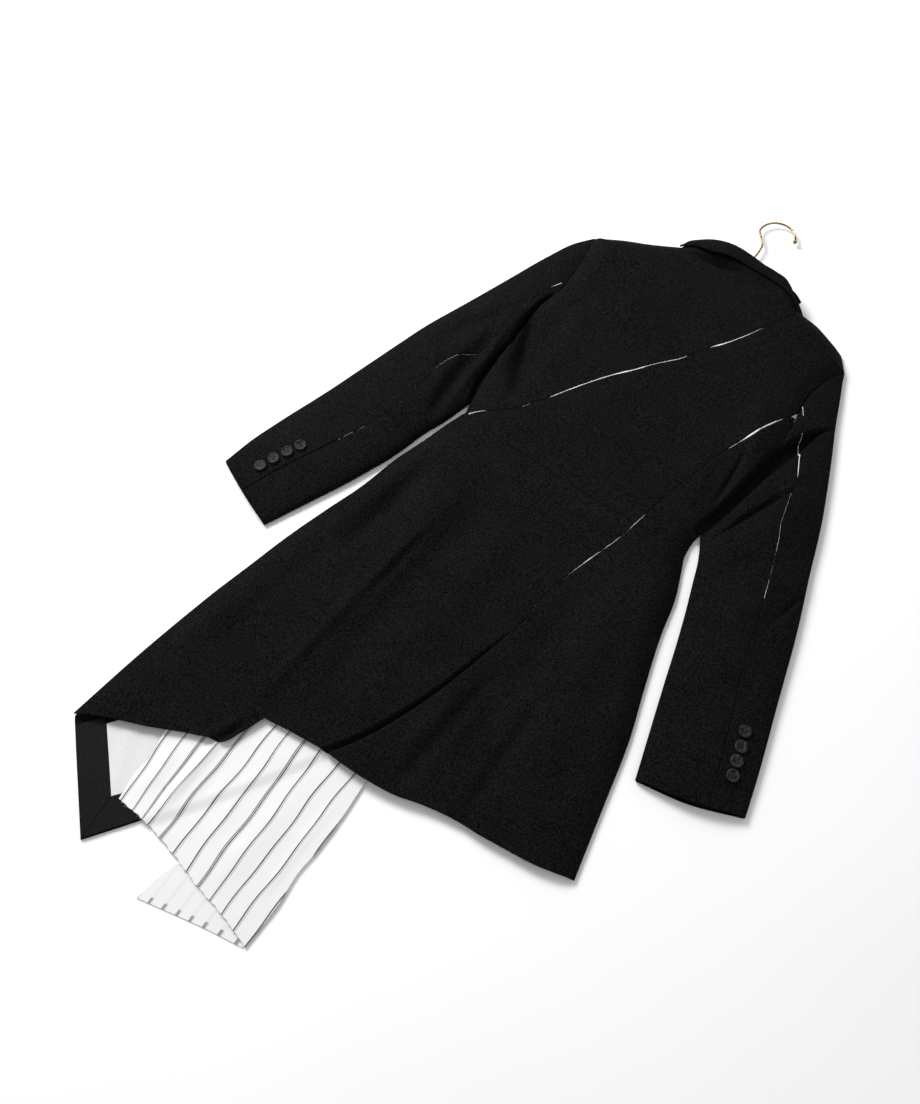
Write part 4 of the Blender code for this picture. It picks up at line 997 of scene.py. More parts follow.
@dataclass(frozen=True)
class Back:
    """The five panels of the back and the white lining that shows in their opened seams."""

    surface: BackSurface
    seam_gap: float = 0.1
    armhole_gap: float = CLOSED
    waist_half: float = 0.12
    dense: int = 118

    def panel(self, name: str, plan: Array, wardrobe: Wardrobe, node: str, below: tuple[str, ...]) -> None:
        """Makes one panel from its plan grid, with its inside straight below its outside.

        Args:
            name: The piece's name.
            plan: Its plan grid.
            wardrobe: The finishes.
            node: The CAD node that it replaces.
            below: Not used.
        """
        outer = self.surface.lift(plan)
        inner = outer - np.array((0.0, 0.0, Layer.WOOL.value))
        panel = cloth_object(name, outer, inner, rounding=SEAM_ROUNDING)
        piece = wardrobe.dress(panel, "black wool", "wool", node)
        declare_sheet(outer)

    def bodice(self, wardrobe: Wardrobe) -> None:
        """Upper left, lower right and side-back panels.

        Args:
            wardrobe: The finishes.
        """
        cut = self.surface.outline
        below = ("cloth_front_left", "cloth_front_right", "hanger_bar")
        across, upwards = clustered(self.dense), clustered(self.dense)
        diagonal = smooth(cut.diagonal, 240)[:, :2]
        left = np.vstack((smooth(cut.left_armhole, 200), np.array(cut.left_underarm, float)[1:]))
        left = along(left[::-1], upwards)
        lower = np.vstack(([left[0]], along(diagonal, across)[1:]))
        plan = coons(lower, along(smooth(cut.left_shoulder, 60)[::-1], across), left,
                     along(smooth(cut.neckline, 80)[::-1], upwards))
        plan = drawn_in(plan, Side.BOTTOM, by_share(cut.diagonal_gap, across))
        plan = drawn_in(plan, Side.LEFT, self.armhole_gap)
        self.panel("cloth_back_upper_left", plan, wardrobe, "back_upper_left", below)

        princess = smooth(cut.side_back, 200)[:, :2]
        armhole = smooth(cut.right_armhole_top, 60)
        right = np.vstack((armhole, princess[1:]))[::-1]
        shares, over = clustered(self.dense + 20), clustered(self.dense)
        first, last = cut.diagonal[0][0], cut.skirt[0][0]
        waist = cut.waist_row(first + (last - first) * over, self.waist_half)
        right = meet(along(right, shares), waist[-1])
        left = meet(along(diagonal, shares), waist[0])
        plan = coons(waist, along(smooth(cut.right_shoulder, 60), over), left, right)
        on_seam = np.linalg.norm(right[:, None] - princess[None, ::4], axis=-1).min(axis=1) < 2.0
        seam_share = lengths(right) / (lengths(right)[-1] * lengths(princess)[-1] / (
            lengths(princess)[-1] + lengths(armhole)[-1]))
        opened = by_share(cut.side_back_gap, np.clip(1.0 - seam_share, 0.0, 1.0))
        gap = np.where(on_seam, opened, self.armhole_gap)
        plan = drawn_in(plan, Side.LEFT, by_share(cut.diagonal_gap, shares))
        plan = drawn_in(plan, Side.RIGHT, gap)
        plan = drawn_in(plan, Side.BOTTOM, self.seam_gap)
        self.panel("cloth_back_lower_right", plan, wardrobe, "back_lower_right", below)

        down = clustered(90)
        low = np.vstack((smooth(cut.right_armhole_low, 80), np.array(cut.right_underarm, float)[1:]))
        side = along(low, 0.04 + 0.96 * down)
        inner = along(princess, 0.05 + 0.95 * down)
        wide = clustered(44)[:, None]
        waist = cut.waist_row(inner[-1, 0] + wide[:, 0] * (side[-1, 0] - inner[-1, 0]), self.waist_half)
        inner, side = meet(inner[::-1], waist[0])[::-1], meet(side[::-1], waist[-1])[::-1]
        plan = coons(inner[0] + wide * (side[0] - inner[0]), waist, inner, side)
        plan = drawn_in(plan, Side.LEFT, by_share(cut.side_back_gap, 0.05 + 0.95 * down))
        plan = drawn_in(plan, Side.RIGHT, self.armhole_gap)
        self.panel("cloth_back_side_right", plan, wardrobe, "back_side_right", below)

    def skirt(self, wardrobe: Wardrobe) -> None:
        """Left and right panels of the skirt, parted at the long seam from waist to hem.

        Args:
            wardrobe: The finishes.
        """
        cut = self.surface.outline
        below = ("cloth_front_left", "cloth_front_right", "cloth_striped_upper")
        down, across = clustered(self.dense + 40), clustered(self.dense + 10)
        seam = along(smooth(cut.skirt, 240)[:, :2], down)
        first, middle, last = cut.left_side[0][0], cut.skirt[0][0], cut.right_side[0][0]
        waist = cut.waist_row(first + (middle - first) * across, -self.waist_half)
        side = meet(along(smooth(cut.left_side, 120), down), waist[0])
        plan = coons(waist, along(smooth(cut.left_hem, 240), across), side, meet(seam, waist[-1]))
        plan = drawn_in(plan, Side.RIGHT, by_share(cut.skirt_gap, down))
        plan = drawn_in(plan, Side.BOTTOM, self.seam_gap)
        self.panel("cloth_skirt_left", plan, wardrobe, "skirt_left", below)

        across = clustered(self.dense - 30)
        waist = cut.waist_row(middle + (last - middle) * across, -self.waist_half)
        side = meet(along(smooth(cut.right_side, 120), down), waist[-1])
        plan = coons(waist, along(smooth(cut.right_hem, 160), across), meet(seam, waist[0]), side)
        plan = drawn_in(plan, Side.LEFT, by_share(cut.skirt_gap, down))
        plan = drawn_in(plan, Side.BOTTOM, self.seam_gap)
        self.panel("cloth_skirt_right", plan, wardrobe, "skirt_right", below)

    def ribbon(self, name: str, rows: Pairs, gaps: Pairs, reach: tuple[float, float], clear: float, node: str,
               wardrobe: Wardrobe) -> None:
        """White lining under one opened seam, with a pleat that stands up between the two edges.

        Across the seam it lies at the wall's depth, and between the edges it rises to just below the
        outside. Where the seam is closed, the pleat lies down.

        Args:
            name: The piece's name.
            rows: The seam's stations.
            gaps: Its opening, by share of its length.
            reach: First and last share that it covers.
            clear: Gap under the panels.
            node: The CAD node that it replaces.
            wardrobe: The finishes.
        """
        surface = self.surface
        shares = np.linspace(*reach, 320)
        line = along(smooth(rows, 400)[:, :2], shares)
        gap = by_share(gaps, shares)
        run = np.gradient(line, axis=0)
        run /= np.linalg.norm(run, axis=1, keepdims=True)
        aside = np.column_stack((-run[:, 1], run[:, 0]))
        rising = ease((gap - 0.7) / 0.4)[:, None]
        half = np.maximum(gap / 2 - 0.3, 0.12)[:, None]
        steps = np.array((0.0, 0.0, 0.0, 1.0, 0.85, 0.45, 0.0, -0.45, -0.85, -1.0, 0.0, 0.0, 0.0))
        fixed = np.array((9.0, 4.0, 1.9, 0.0, 0.0, 0.0, 0.0, 0.0, 0.0, 0.0, -1.9, -4.0, -9.0))
        up = np.array((0.0, 0.0, 0.0, 0.25, 0.8, 0.97, 1.0, 0.97, 0.8, 0.25, 0.0, 0.0, 0.0))
        offset = fixed[None] + steps[None] * half
        plan = line[:, None] + aside[:, None] * offset[..., None]
        deep = Layer.WOOL.value + clear
        frill = 0.25 * np.sin(shares * 190.0)[:, None] * up[None] + 0.1 * np.sin(shares * 611.0)[:, None]
        pleat = (deep - 0.1) * up[None] * rising + frill * rising * 0.6
        level = surface.top(plan[..., 0], plan[..., 1]) - deep + pleat
        outer = np.dstack((plan, level))
        inner = outer - np.array((0.0, 0.0, 0.3))
        piece = wardrobe.dress(cloth_object(name, outer, inner), "white seam lining", "lining_white", node)
        declare_sheet(outer)

    def linings(self, wardrobe: Wardrobe) -> None:
        """The three ribbons of the back.

        Args:
            wardrobe: The finishes.
        """
        cut = self.surface.outline
        self.ribbon("cloth_lining_diagonal", cut.diagonal, cut.diagonal_gap, (0.0, 0.985), 1.0,
                    "lining_diagonal", wardrobe)
        self.ribbon("cloth_lining_side_back", cut.side_back, cut.side_back_gap, (0.0, 0.475), 1.0,
                    "lining_side_back", wardrobe)
        rows = cut.side_back[-2:] + cut.skirt[1:]
        gaps = ((0.0, 1.0), *((0.037 + 0.963 * share, gap) for share, gap in cut.skirt_gap))
        self.ribbon("cloth_lining_skirt", rows, gaps, (0.0, 0.42), 0.6, "lining_skirt", wardrobe)

    def build(self, wardrobe: Wardrobe) -> None:
        """Builds every piece of the back.

        Args:
            wardrobe: The finishes.
        """
        self.bodice(wardrobe)
        self.skirt(wardrobe)
        self.linings(wardrobe)


@dataclass(frozen=True)
class Sleeve:
    """One sleeve, flattened on its side: a loop of cloth carried from the armhole to the cuff."""

    side: str
    armhole: Pairs
    outer_edge: Pairs
    inner_edge: Pairs
    cuff: Pairs
    rings: Pairs
    folds: tuple[Fold, ...]
    seam_gap: Pairs
    buttons: Pairs
    lining_reach: tuple[float, float]
    valleys: tuple[Pairs, ...] = ()
    edge: float = 3.6
    front_seam: float = 0.86
    dome: float = 0.75
    under_roll: float = 0.3
    armhole_gap: float = CLOSED
    widths: Pairs = ((0, 330), (0.15, 160), (1, 112))
    cloth_length: float = 640.0

    def edges(self) -> tuple[Array, Array, Array, Array]:
        """Armhole, outer edge, inner edge and cuff as sampled lines."""
        return (np.array(self.armhole, float), smooth(self.outer_edge, 160), smooth(self.inner_edge, 160),
                smooth(self.cuff, 40))

    def plan(self, across: Array, share: Array) -> Array:
        """Plan points at shares across and along, between the four edges, as in a Coons patch.

        Args:
            across: Shares from the outer edge to the inner, as a grid.
            share: Shares along the sleeve.

        Returns:
            Grid of x, y.
        """
        rows, columns = across.shape
        armhole, outer, inner, cuff = self.edges()
        top = along(armhole, across.ravel()).reshape(rows, columns, 2)
        end = along(cuff, across.ravel()).reshape(rows, columns, 2)
        side_a, side_b = along(outer, share)[:, None], along(inner, share)[:, None]
        u, v = across[..., None], share[:, None, None]
        corners = ((1 - u) * (1 - v) * armhole[0] + u * (1 - v) * armhole[-1]
                   + (1 - u) * v * cuff[0] + u * v * cuff[-1])
        return (1 - v) * top + v * end + (1 - u) * side_a + u * side_b - corners

    def points(self, turn: Array, share: Array) -> Array:
        """Points of the loop for turns round it and shares along it.

        Across runs as (1 - cos) / 2. Above, the height grows as sin^dome and carries the folds; below, it
        drops to the flat underside within a short roll.

        Args:
            turn: Turns round the loop, as a grid.
            share: Shares along the sleeve.

        Returns:
            Grid of points.
        """
        table = np.array(self.rings, float)
        height = np.interp(share, table[:, 0], table[:, 1])[:, None]
        rise = np.sin(turn)
        plan = self.plan((1.0 - np.cos(turn)) / 2.0, share)
        upper = self.edge + (height - self.edge) * np.abs(rise) ** self.dome
        lower = self.edge * np.clip(1.0 - np.abs(rise) / self.under_roll, 0.0, 1.0) ** 2
        x, y = plan[..., 0], plan[..., 1]
        fade = (rise > 0) * np.abs(rise) * ease(share / 0.1)[:, None]
        detail = folds_at(x, y, self.folds) + ripple(x + 300.0, y, 0.6)
        level = np.where(rise > 0, upper, lower) + fade * detail
        sunk = valleys_at(x, y, self.valleys) + valleys_at(x, y, ARMHOLE_VALLEYS, ARMHOLE_STEEP)
        sunk = (rise > 0) * np.clip(rise / self.under_roll, 0.0, 1.0) * sunk
        level = np.where(rise > 0, np.maximum(level - sunk, np.minimum(level, self.edge + 0.6)), level)
        return np.dstack((plan, level))

    def wall(self, turn: Array, share: Array) -> tuple[Array, Array]:
        """Points and outward normals, by small steps round and along the loop.

        Args:
            turn: Turns round the loop, as a grid.
            share: Shares along the sleeve.

        Returns:
            The points and their normals.
        """
        nudge = 0.012
        outer = self.points(turn, share)
        round_it = self.points(turn + nudge, share) - self.points(turn - nudge, share)
        ahead, back = np.clip(share + nudge, 0, 1), np.clip(share - nudge, 0, 1)
        lengthwise = self.points(turn, ahead) - self.points(turn, back)
        normal = np.cross(round_it, lengthwise)
        normal /= np.linalg.norm(normal, axis=-1, keepdims=True) + 1e-9
        return outer, normal if (normal[..., 2] * (np.sin(turn) > 0.5)).sum() >= 0 else -normal

    def seam_turn(self, share: Array) -> Array:
        """Turn of the back seam at shares of the length."""
        table = np.array(self.rings, float)
        return np.arccos(1.0 - 2.0 * np.interp(share, table[:, 0], table[:, 2]))[:, None]

    def width(self, share: Array) -> Array:
        """Flat width at shares of the length."""
        return np.interp(share, *zip(*self.widths))[:, None]

    def opening(self, share: Array) -> Array:
        """Gap of the back seam at shares of the length."""
        return np.interp(share, *zip(*self.seam_gap))

    def shells(self, wardrobe: Wardrobe) -> None:
        """Top sleeve and under sleeve, parted at the back seam above and the front seam below.

        Args:
            wardrobe: The finishes.
        """
        share = clustered(190)
        seam, width = self.seam_turn(share), self.width(share)
        below = math.acos(1.0 - 2.0 * self.front_seam)
        back_gap = self.opening(share)[:, None] / (width * np.sin(seam))
        front_gap = CLOSED / (width * math.sin(below))
        spans = {"top": (seam - back_gap, -below + front_gap, 96),
                 "under": (seam + back_gap, 2.0 * math.pi - below - front_gap, 80)}
        for part, (first, last, columns) in spans.items():
            turn = first + (last - first) * clustered(columns, 0.95, 0.8)[None, :]
            outer, normal = self.wall(turn, share)
            arc = np.linalg.norm(outer - outer[:, :1], axis=-1)
            outer = outer - normal * (0.4 * np.exp(-((arc / 1.5) ** 2)))[..., None]
            inner = outer - normal * Layer.WOOL.value
            for grid in (outer, inner):
                step = grid[6] - grid[0]
                step[:, 2] = 0.0
                step /= np.linalg.norm(step, axis=1, keepdims=True) + 1e-9
                away = np.linalg.norm(grid - grid[:1], axis=-1, keepdims=True)
                grid += step[None] * self.armhole_gap / 2 * np.clip(1.0 - away / 20.0, 0.0, 1.0)
            steps = np.linalg.norm(np.diff(outer, axis=1, prepend=outer[:, :1]), axis=-1)
            uv = np.dstack((np.cumsum(steps, axis=1),
                            np.broadcast_to(share[:, None] * self.cloth_length, outer.shape[:2])))
            name = f"sleeve_{self.side}_{part}"
            shell = cloth_object("cloth_" + name, outer, inner, uv, SEAM_ROUNDING)
            piece = wardrobe.dress(shell, "black wool", "wool", name)
            declare_sheet(outer)

    def lining(self, wardrobe: Wardrobe) -> None:
        """White lining under the opened back seam, with a pleat between the edges.

        Args:
            wardrobe: The finishes.
        """
        share = np.linspace(*self.lining_reach, 360)
        middle, width = self.seam_turn(share), self.width(share)
        gap = self.opening(share)
        half = np.maximum(gap / 2 - 0.25, 0.1)[:, None]
        steps = np.array((0.0, 0.0, 1.0, 0.8, 0.4, 0.0, -0.4, -0.8, -1.0, 0.0, 0.0))
        fixed = np.array((-6.0, -1.8, 0.0, 0.0, 0.0, 0.0, 0.0, 0.0, 0.0, 1.8, 6.0))
        up = np.array((0.0, 0.0, 0.3, 0.85, 0.98, 1.0, 0.98, 0.85, 0.3, 0.0, 0.0))
        offset = fixed[None] - steps[None] * half
        turn = middle + 2.0 * offset / (width * np.sin(middle))
        points, normal = self.wall(turn, share)
        deep = Layer.WOOL.value + 1.2
        rising = ease((gap - 0.45) / 0.2)[:, None]
        depth = deep - (deep - 0.15) * up[None] * rising
        outer = points - normal * depth[..., None]
        inner = outer - normal * 0.3
        uv = np.dstack((offset, np.broadcast_to(share[:, None] * self.cloth_length, offset.shape)))
        name = f"lining_sleeve_{self.side}"
        piece = wardrobe.dress(cloth_object("cloth_" + name, outer, inner, uv), "white seam lining",
                               "lining_white", name)
        declare_sheet(outer)

    def seat(self, place: tuple[float, ...]) -> tuple[Array, Array]:
        """Point and normal of the sleeve's outside straight above a place in plan.

        Args:
            place: x and y.

        Returns:
            The point and its normal.
        """
        turns, shares = np.linspace(0.15, 2.6, 160), np.linspace(0.6, 1.0, 160)
        surface, normal = self.wall(np.broadcast_to(turns, (160, 160)).copy(), shares)
        off = np.hypot(surface[..., 0] - place[0], surface[..., 1] - place[1])
        row, column = np.unravel_index(off.argmin(), off.shape)
        return surface[row, column], normal[row, column]

    def build(self, wardrobe: Wardrobe) -> None:
        """Builds the shells, the lining and the buttons.

        Args:
            wardrobe: The finishes.
        """
        self.shells(wardrobe)
        self.lining(wardrobe)
        for number, place in enumerate(self.buttons, 1):
            point, normal = self.seat(place)
            Button(f"{self.side}_{number}", turn=0.7 * number).build(point, normal, wardrobe)


@dataclass(frozen=True)
class Button:
    """A turned four-hole button with its crossed thread."""

    name: str
    turn: float
    radius: float = 7.5
    clear: float = 0.7
    hole: float = 0.95
    hole_at: float = 2.15
    pit: float = 1.25
    sides: int = 48
    thread: float = 0.36
    thread_level: float = 1.5
    profile: Pairs = (
        (0, 1.7), (0.42, 1.75), (0.58, 1.85), (0.70, 2.35), (0.78, 2.6), (0.88, 2.6), (0.96, 2.3),
        (1, 1.7), (0.985, 0.9), (0.9, 0.35), (0.75, 0.05), (0.4, 0), (0, 0))

    def build(self, seat: Array, normal: Array, wardrobe: Wardrobe) -> None:
        """Makes the button and its thread on a seat.

        The profile is turned about its axis; inside each hole's radius its face sinks by a smooth pit.

        Args:
            seat: Point under the button.
            normal: Its axis.
            wardrobe: The finishes.
        """
        shares = np.array(self.profile, float)
        at = lengths(shares * (self.radius, 1.0))
        fine = np.unique(np.concatenate((np.linspace(0, at[6], 30), np.linspace(at[6], at[-1], 18))))
        radius = np.interp(fine, at, shares[:, 0]) * self.radius
        level = np.interp(fine, at, shares[:, 1])
        around = np.linspace(0, 2 * math.pi, self.sides, endpoint=False)
        x, y = radius[:, None] * np.cos(around), radius[:, None] * np.sin(around)
        z = np.broadcast_to(level[:, None], x.shape).copy()
        facing = (fine < at[4])[:, None]
        holes = [(self.hole_at * math.cos(a), self.hole_at * math.sin(a)) for a in
                 (self.turn + math.pi / 4 + quarter * math.pi / 2 for quarter in range(4))]
        for hole_x, hole_y in holes:
            near = np.hypot(x - hole_x, y - hole_y) / self.hole
            z -= facing * self.pit * ease((1.15 - near) / 0.45)
        turned = np.array(Vector(normal).to_track_quat('Z', 'Y').to_matrix(), float)
        centre = seat + normal * self.clear
        body = np.dstack((x, y, z)).reshape(-1, 3) @ turned.T + centre
        index = np.arange(x.size).reshape(x.shape)
        ahead = np.roll(index, -1, axis=1)
        quads = np.stack((index[:-1], index[1:], ahead[1:], ahead[:-1]), axis=-1).reshape(-1, 4)
        piece = mesh_object("horn_button_" + self.name, body, quads[:, ::-1].tolist())
        self.close_poles(piece)
        wardrobe.dress(piece, "black horn", "horn", "button_" + self.name)
        for number, (first, second) in enumerate(((holes[0], holes[1]), (holes[2], holes[3])), 1):
            start, end = np.array((*first, self.thread_level)), np.array((*second, self.thread_level))
            share = np.linspace(0.0, 1.0, 15)[:, None]
            route = start + (end - start) * share
            sunk_ends = 0.9 * (np.abs(share[:, 0] - 0.5) > 0.47)
            route[:, 2] += 0.75 * np.sin(math.pi * share[:, 0]) ** 0.5 - sunk_ends
            thread = tube_object(f"thread_button_{self.name}_{number}", route @ turned.T + centre,
                                 np.full(len(share), self.thread), 8)
            wardrobe.dress(thread, "black thread", "wool")

    @staticmethod
    def close_poles(piece: bpy.types.Object) -> None:
        """Merges the rings that have shrunk to a point at the axis.

        Args:
            piece: The button.
        """
        shell = bmesh.new()
        shell.from_mesh(piece.data)
        bmesh.ops.remove_doubles(shell, verts=shell.verts, dist=0.00001)
        bmesh.ops.recalc_face_normals(shell, faces=shell.faces)
        shell.to_mesh(piece.data)
        shell.free()
        piece.data.shade_smooth()


@dataclass(frozen=True)
class Collar:
    """The turned-down collar: the fall from its crease over the back, and the stand under it."""

    surface: BackSurface
    crease: Pairs = (
        (-94, 565), (-88, 570.5), (-73, 574.5), (-55, 585.5), (-36, 592.5), (-16, 593.5), (2, 591), (22, 588),
        (41, 587), (57, 585), (68, 578), (78, 570), (87, 564.5), (97, 562))
    edge: Pairs = (
        (-91, 560), (-75, 562), (-58, 562), (-43, 563), (-31, 567), (-13, 572), (11, 573), (33, 572),
        (54, 570), (67, 567), (79, 562), (88, 558), (96, 555))
    neck: Pairs = ((-89, 571.5), (-52, 580.5), (-4, 584.5), (52, 580.5), (98, 570))
    low: float = 6.0
    rise: float = 25.0
    clear: float = 2.4
    gape: float = 7.0
    stand_clear: float = 0.7

    def build(self, wardrobe: Wardrobe) -> None:
        """The fall is ruled from crease to edge with a rounded crest, and the stand from crease to neck.

        Args:
            wardrobe: The finishes.
        """
        wool = Layer.WOOL.value
        share = clustered(150, 0.8, 0.8)
        crease, edge, neck = (along(smooth(rows, 120), share) for rows in (self.crease, self.edge, self.neck))
        high = self.low + self.rise * np.sin(math.pi * share) ** 0.6
        high = np.maximum(high, self.surface.top(*crease.T) + 4.0)
        lifted = self.gape * np.exp(-(((share - 0.3) / 0.13) ** 2))
        low = self.surface.top(*edge.T) + wool + self.clear + lifted
        down = clustered(44, 0.9, 0.92)[:, None]
        plan = crease[None] * (1 - down[..., None]) + edge[None] * down[..., None]
        level = high * (1 - down**0.8) + low * down**0.8 + 2.0 * np.sin(math.pi * down)
        level = level + 0.5 * np.sin(share * 23.0)[None] * down * (1.0 - down) * 2.0
        level = np.maximum(level, self.surface.top(plan[..., 0], plan[..., 1]) + wool + self.clear)
        fall = np.dstack((plan, level))
        piece = cloth_object("cloth_collar_fall", fall, fall - np.array((0.0, 0.0, wool)))
        wardrobe.dress(piece, "black wool", "wool", "collar_fall")
        declare_sheet(fall)

        inside = slice(12, -12)
        down = clustered(24)[:, None]
        top = crease[inside] * 0.94 + edge[inside] * 0.06
        foot = neck[inside]
        start = high[inside] - wool - self.stand_clear
        end = self.surface.top(*foot.T) - 0.4
        plan = top[None] * (1 - down[..., None]) + foot[None] * down[..., None]
        stand = np.dstack((plan, start * (1 - down) + end * down))
        piece = cloth_object("cloth_collar_stand", stand, stand - np.array((0.0, 0.0, wool)))
        wardrobe.dress(piece, "black wool", "wool", "collar_stand")
        declare_sheet(stand)


@dataclass(frozen=True)
class Front:
    """Both fronts under the back, and what shows of the left one's inside at its long tail."""

    outline: Outline
    left_edge: Pairs = (
        (-90, 564), (-30, 380), (30, 250), (52, 180), (52, 20), (30, -130), (-5, -260), (-60, -366),
        (-122, -466), (-158, -520))
    right_edge: Pairs = (
        (96, 560), (40, 380), (-30, 250), (-50, 180), (-50, -40), (-20, -140), (20, -210), (80, -262))
    tail_edge: Pairs = ((-262, -424), (-260, -431), (-236, -452), (-190, -492), (-158, -520))
    lap_before: float = 105.0
    lap_run: float = 60.0
    facing_width: float = 35.0
    turnup_length: float = 128.0
    facing_length: float = 96.0
    tail_lining: tuple[float, float] = (84.0, 67.0)
    tail_clear: float = 1.2
    edge_clear: float = 1.6

    def right(self, wardrobe: Wardrobe) -> None:
        """Right front, flat on the surface: a grid from its front edge across to its side.

        Args:
            wardrobe: The finishes.
        """
        cut, thick = self.outline, Layer.FRONT.value
        low_hem = smooth(cut.right_hem, 40)[20:] + (0.0, 5.0)
        side = np.vstack((smooth(cut.right_shoulder, 30), smooth(cut.right_armhole_top, 40)[1:],
                          smooth(cut.right_armhole_low, 40)[1:], np.array(cut.right_underarm, float)[1:],
                          smooth(cut.right_side, 80)[1:]))
        down, across = clustered(150), clustered(90)
        edge = smooth(self.right_edge, 160)
        bottom = np.vstack((edge[-1:], low_hem[2:]))
        plan = coons(np.linspace(edge[0], side[0], 90), along(bottom, across),
                     along(edge, down), along(side, down))
        plan = drawn_in(drawn_in(plan, Side.LEFT, self.edge_clear), Side.RIGHT, CLOSED)
        plan = drawn_in(drawn_in(plan, Side.BOTTOM, self.edge_clear), Side.TOP, self.edge_clear)
        outer = np.dstack((plan, np.full(plan.shape[:2], thick)))
        piece = cloth_object("cloth_front_right", outer, outer * (1.0, 1.0, 0.0))
        wardrobe.dress(piece, "black wool", "wool", "front_right")
        declare_sheet(outer)

    def left(self, wardrobe: Wardrobe) -> None:
        """Left front, which lies beside the right one and rises over it where it laps.

        Args:
            wardrobe: The finishes.
        """
        cut, thick = self.outline, Layer.FRONT.value
        side = np.vstack((smooth(cut.left_shoulder[1:], 30), smooth(cut.left_armhole, 80)[1:],
                          np.array(cut.left_underarm, float)[1:],
                          smooth(cut.left_side, 100)[1:], np.array(self.tail_edge, float)[1:3]))
        down = clustered(170)
        edge = smooth(self.left_edge, 200)
        side = along(side, down)
        plan = coons(np.linspace(side[0], edge[0], 90), np.linspace(side[-1], edge[-1], 90), side,
                     along(edge, down))
        plan = drawn_in(drawn_in(plan, Side.BOTTOM, self.edge_clear), Side.LEFT, CLOSED)
        rows = np.array(self.right_edge, float)[::-1]
        lap_start = np.interp(plan[..., 1], rows[:, 1], rows[:, 0])
        lap = (thick + 0.5) * ease((plan[..., 0] - lap_start + self.lap_before) / self.lap_run)
        outer = np.dstack((plan, thick + lap))
        piece = cloth_object("cloth_front_left", outer, outer - np.array((0.0, 0.0, thick)))
        wardrobe.dress(piece, "black wool", "wool", "front_left")
        declare_sheet(outer)

    def patch(self, name: str, corners: tuple[Array, ...], low: float, thick: float,
              wave: float) -> tuple[bpy.types.Object, Array]:
        """A four-cornered piece laid at a height, with a small wave in its upper face and its edges.

        Args:
            name: The piece's name.
            corners: Its corners in turn.
            low: Height of its underside.
            thick: Its thickness.
            wave: Height of the wave.

        Returns:
            The object and its upper face.
        """
        u, v = clustered(60, 0.9, 0.9), clustered(40, 0.9, 0.9)
        a, b, c, d = (np.asarray(corner, float) for corner in corners)
        plan = coons(a + u[:, None] * (b - a), d + u[:, None] * (c - d),
                     a + v[:, None] * (d - a), b + v[:, None] * (c - b))
        ragged = 0.25 * np.sin(plan[..., 0] * 0.9 + 2.0 * np.sin(plan[..., 1] * 0.35))
        plan = plan + np.dstack((ragged, -ragged)) * 0.5
        level = low + thick + wave * (0.5 + 0.5 * np.sin(plan[..., 0] * 0.21 + plan[..., 1] * 0.11))
        outer = np.dstack((plan, level))
        return cloth_object(name, outer, np.dstack((plan, np.full(level.shape, low)))), outer

    def inside(self, wardrobe: Wardrobe) -> None:
        """Turned-up hem and edge facing, mitred at the tail's corner, and the grey lining within them.

        Args:
            wardrobe: The finishes.
        """
        corner = np.array((-158.0, -520.0))
        hem = np.array((-236.0, -452.0)) - corner
        edge = np.array((-122.0, -466.0)) - corner
        hem, edge = hem / np.linalg.norm(hem), edge / np.linalg.norm(edge)
        sine = abs(hem[0] * edge[1] - hem[1] * edge[0])
        mitre = corner + (hem + edge) * self.facing_width / sine
        outer = corner + (hem + edge) * self.tail_clear
        gap, low = (hem - edge) * CLOSED / 2, Layer.FRONT.value + CLOSED
        short = self.facing_width / sine
        strips = {"front_hem_turnup": (outer + gap, outer + hem * self.turnup_length,
                                       mitre + hem * (self.turnup_length - short), mitre + gap),
                  "front_edge_facing": (outer - gap, outer + edge * self.facing_length,
                                        mitre + edge * (self.facing_length - short), mitre - gap)}
        for node, corners in strips.items():
            piece, top = self.patch("cloth_" + node, corners, low, Layer.FACING.value, 0.15)
            wardrobe.dress(piece, "black facing", "facing", node)
            declare_sheet(top)
        start = mitre + (hem + edge) * CLOSED
        across, down = hem * self.tail_lining[0], edge * self.tail_lining[1]
        corners = (start, start + across, start + across + down, start + down)
        piece, top = self.patch("cloth_lining_grey", corners, low, Layer.LINING.value, 0.5)
        wardrobe.dress(piece, "grey satin lining", "lining_grey", "lining_grey")
        declare_sheet(top)

    def build(self, wardrobe: Wardrobe) -> None:
        """Builds both fronts and the inside of the tail.

        Args:
            wardrobe: The finishes.
        """
        self.right(wardrobe)
        self.left(wardrobe)
        self.inside(wardrobe)


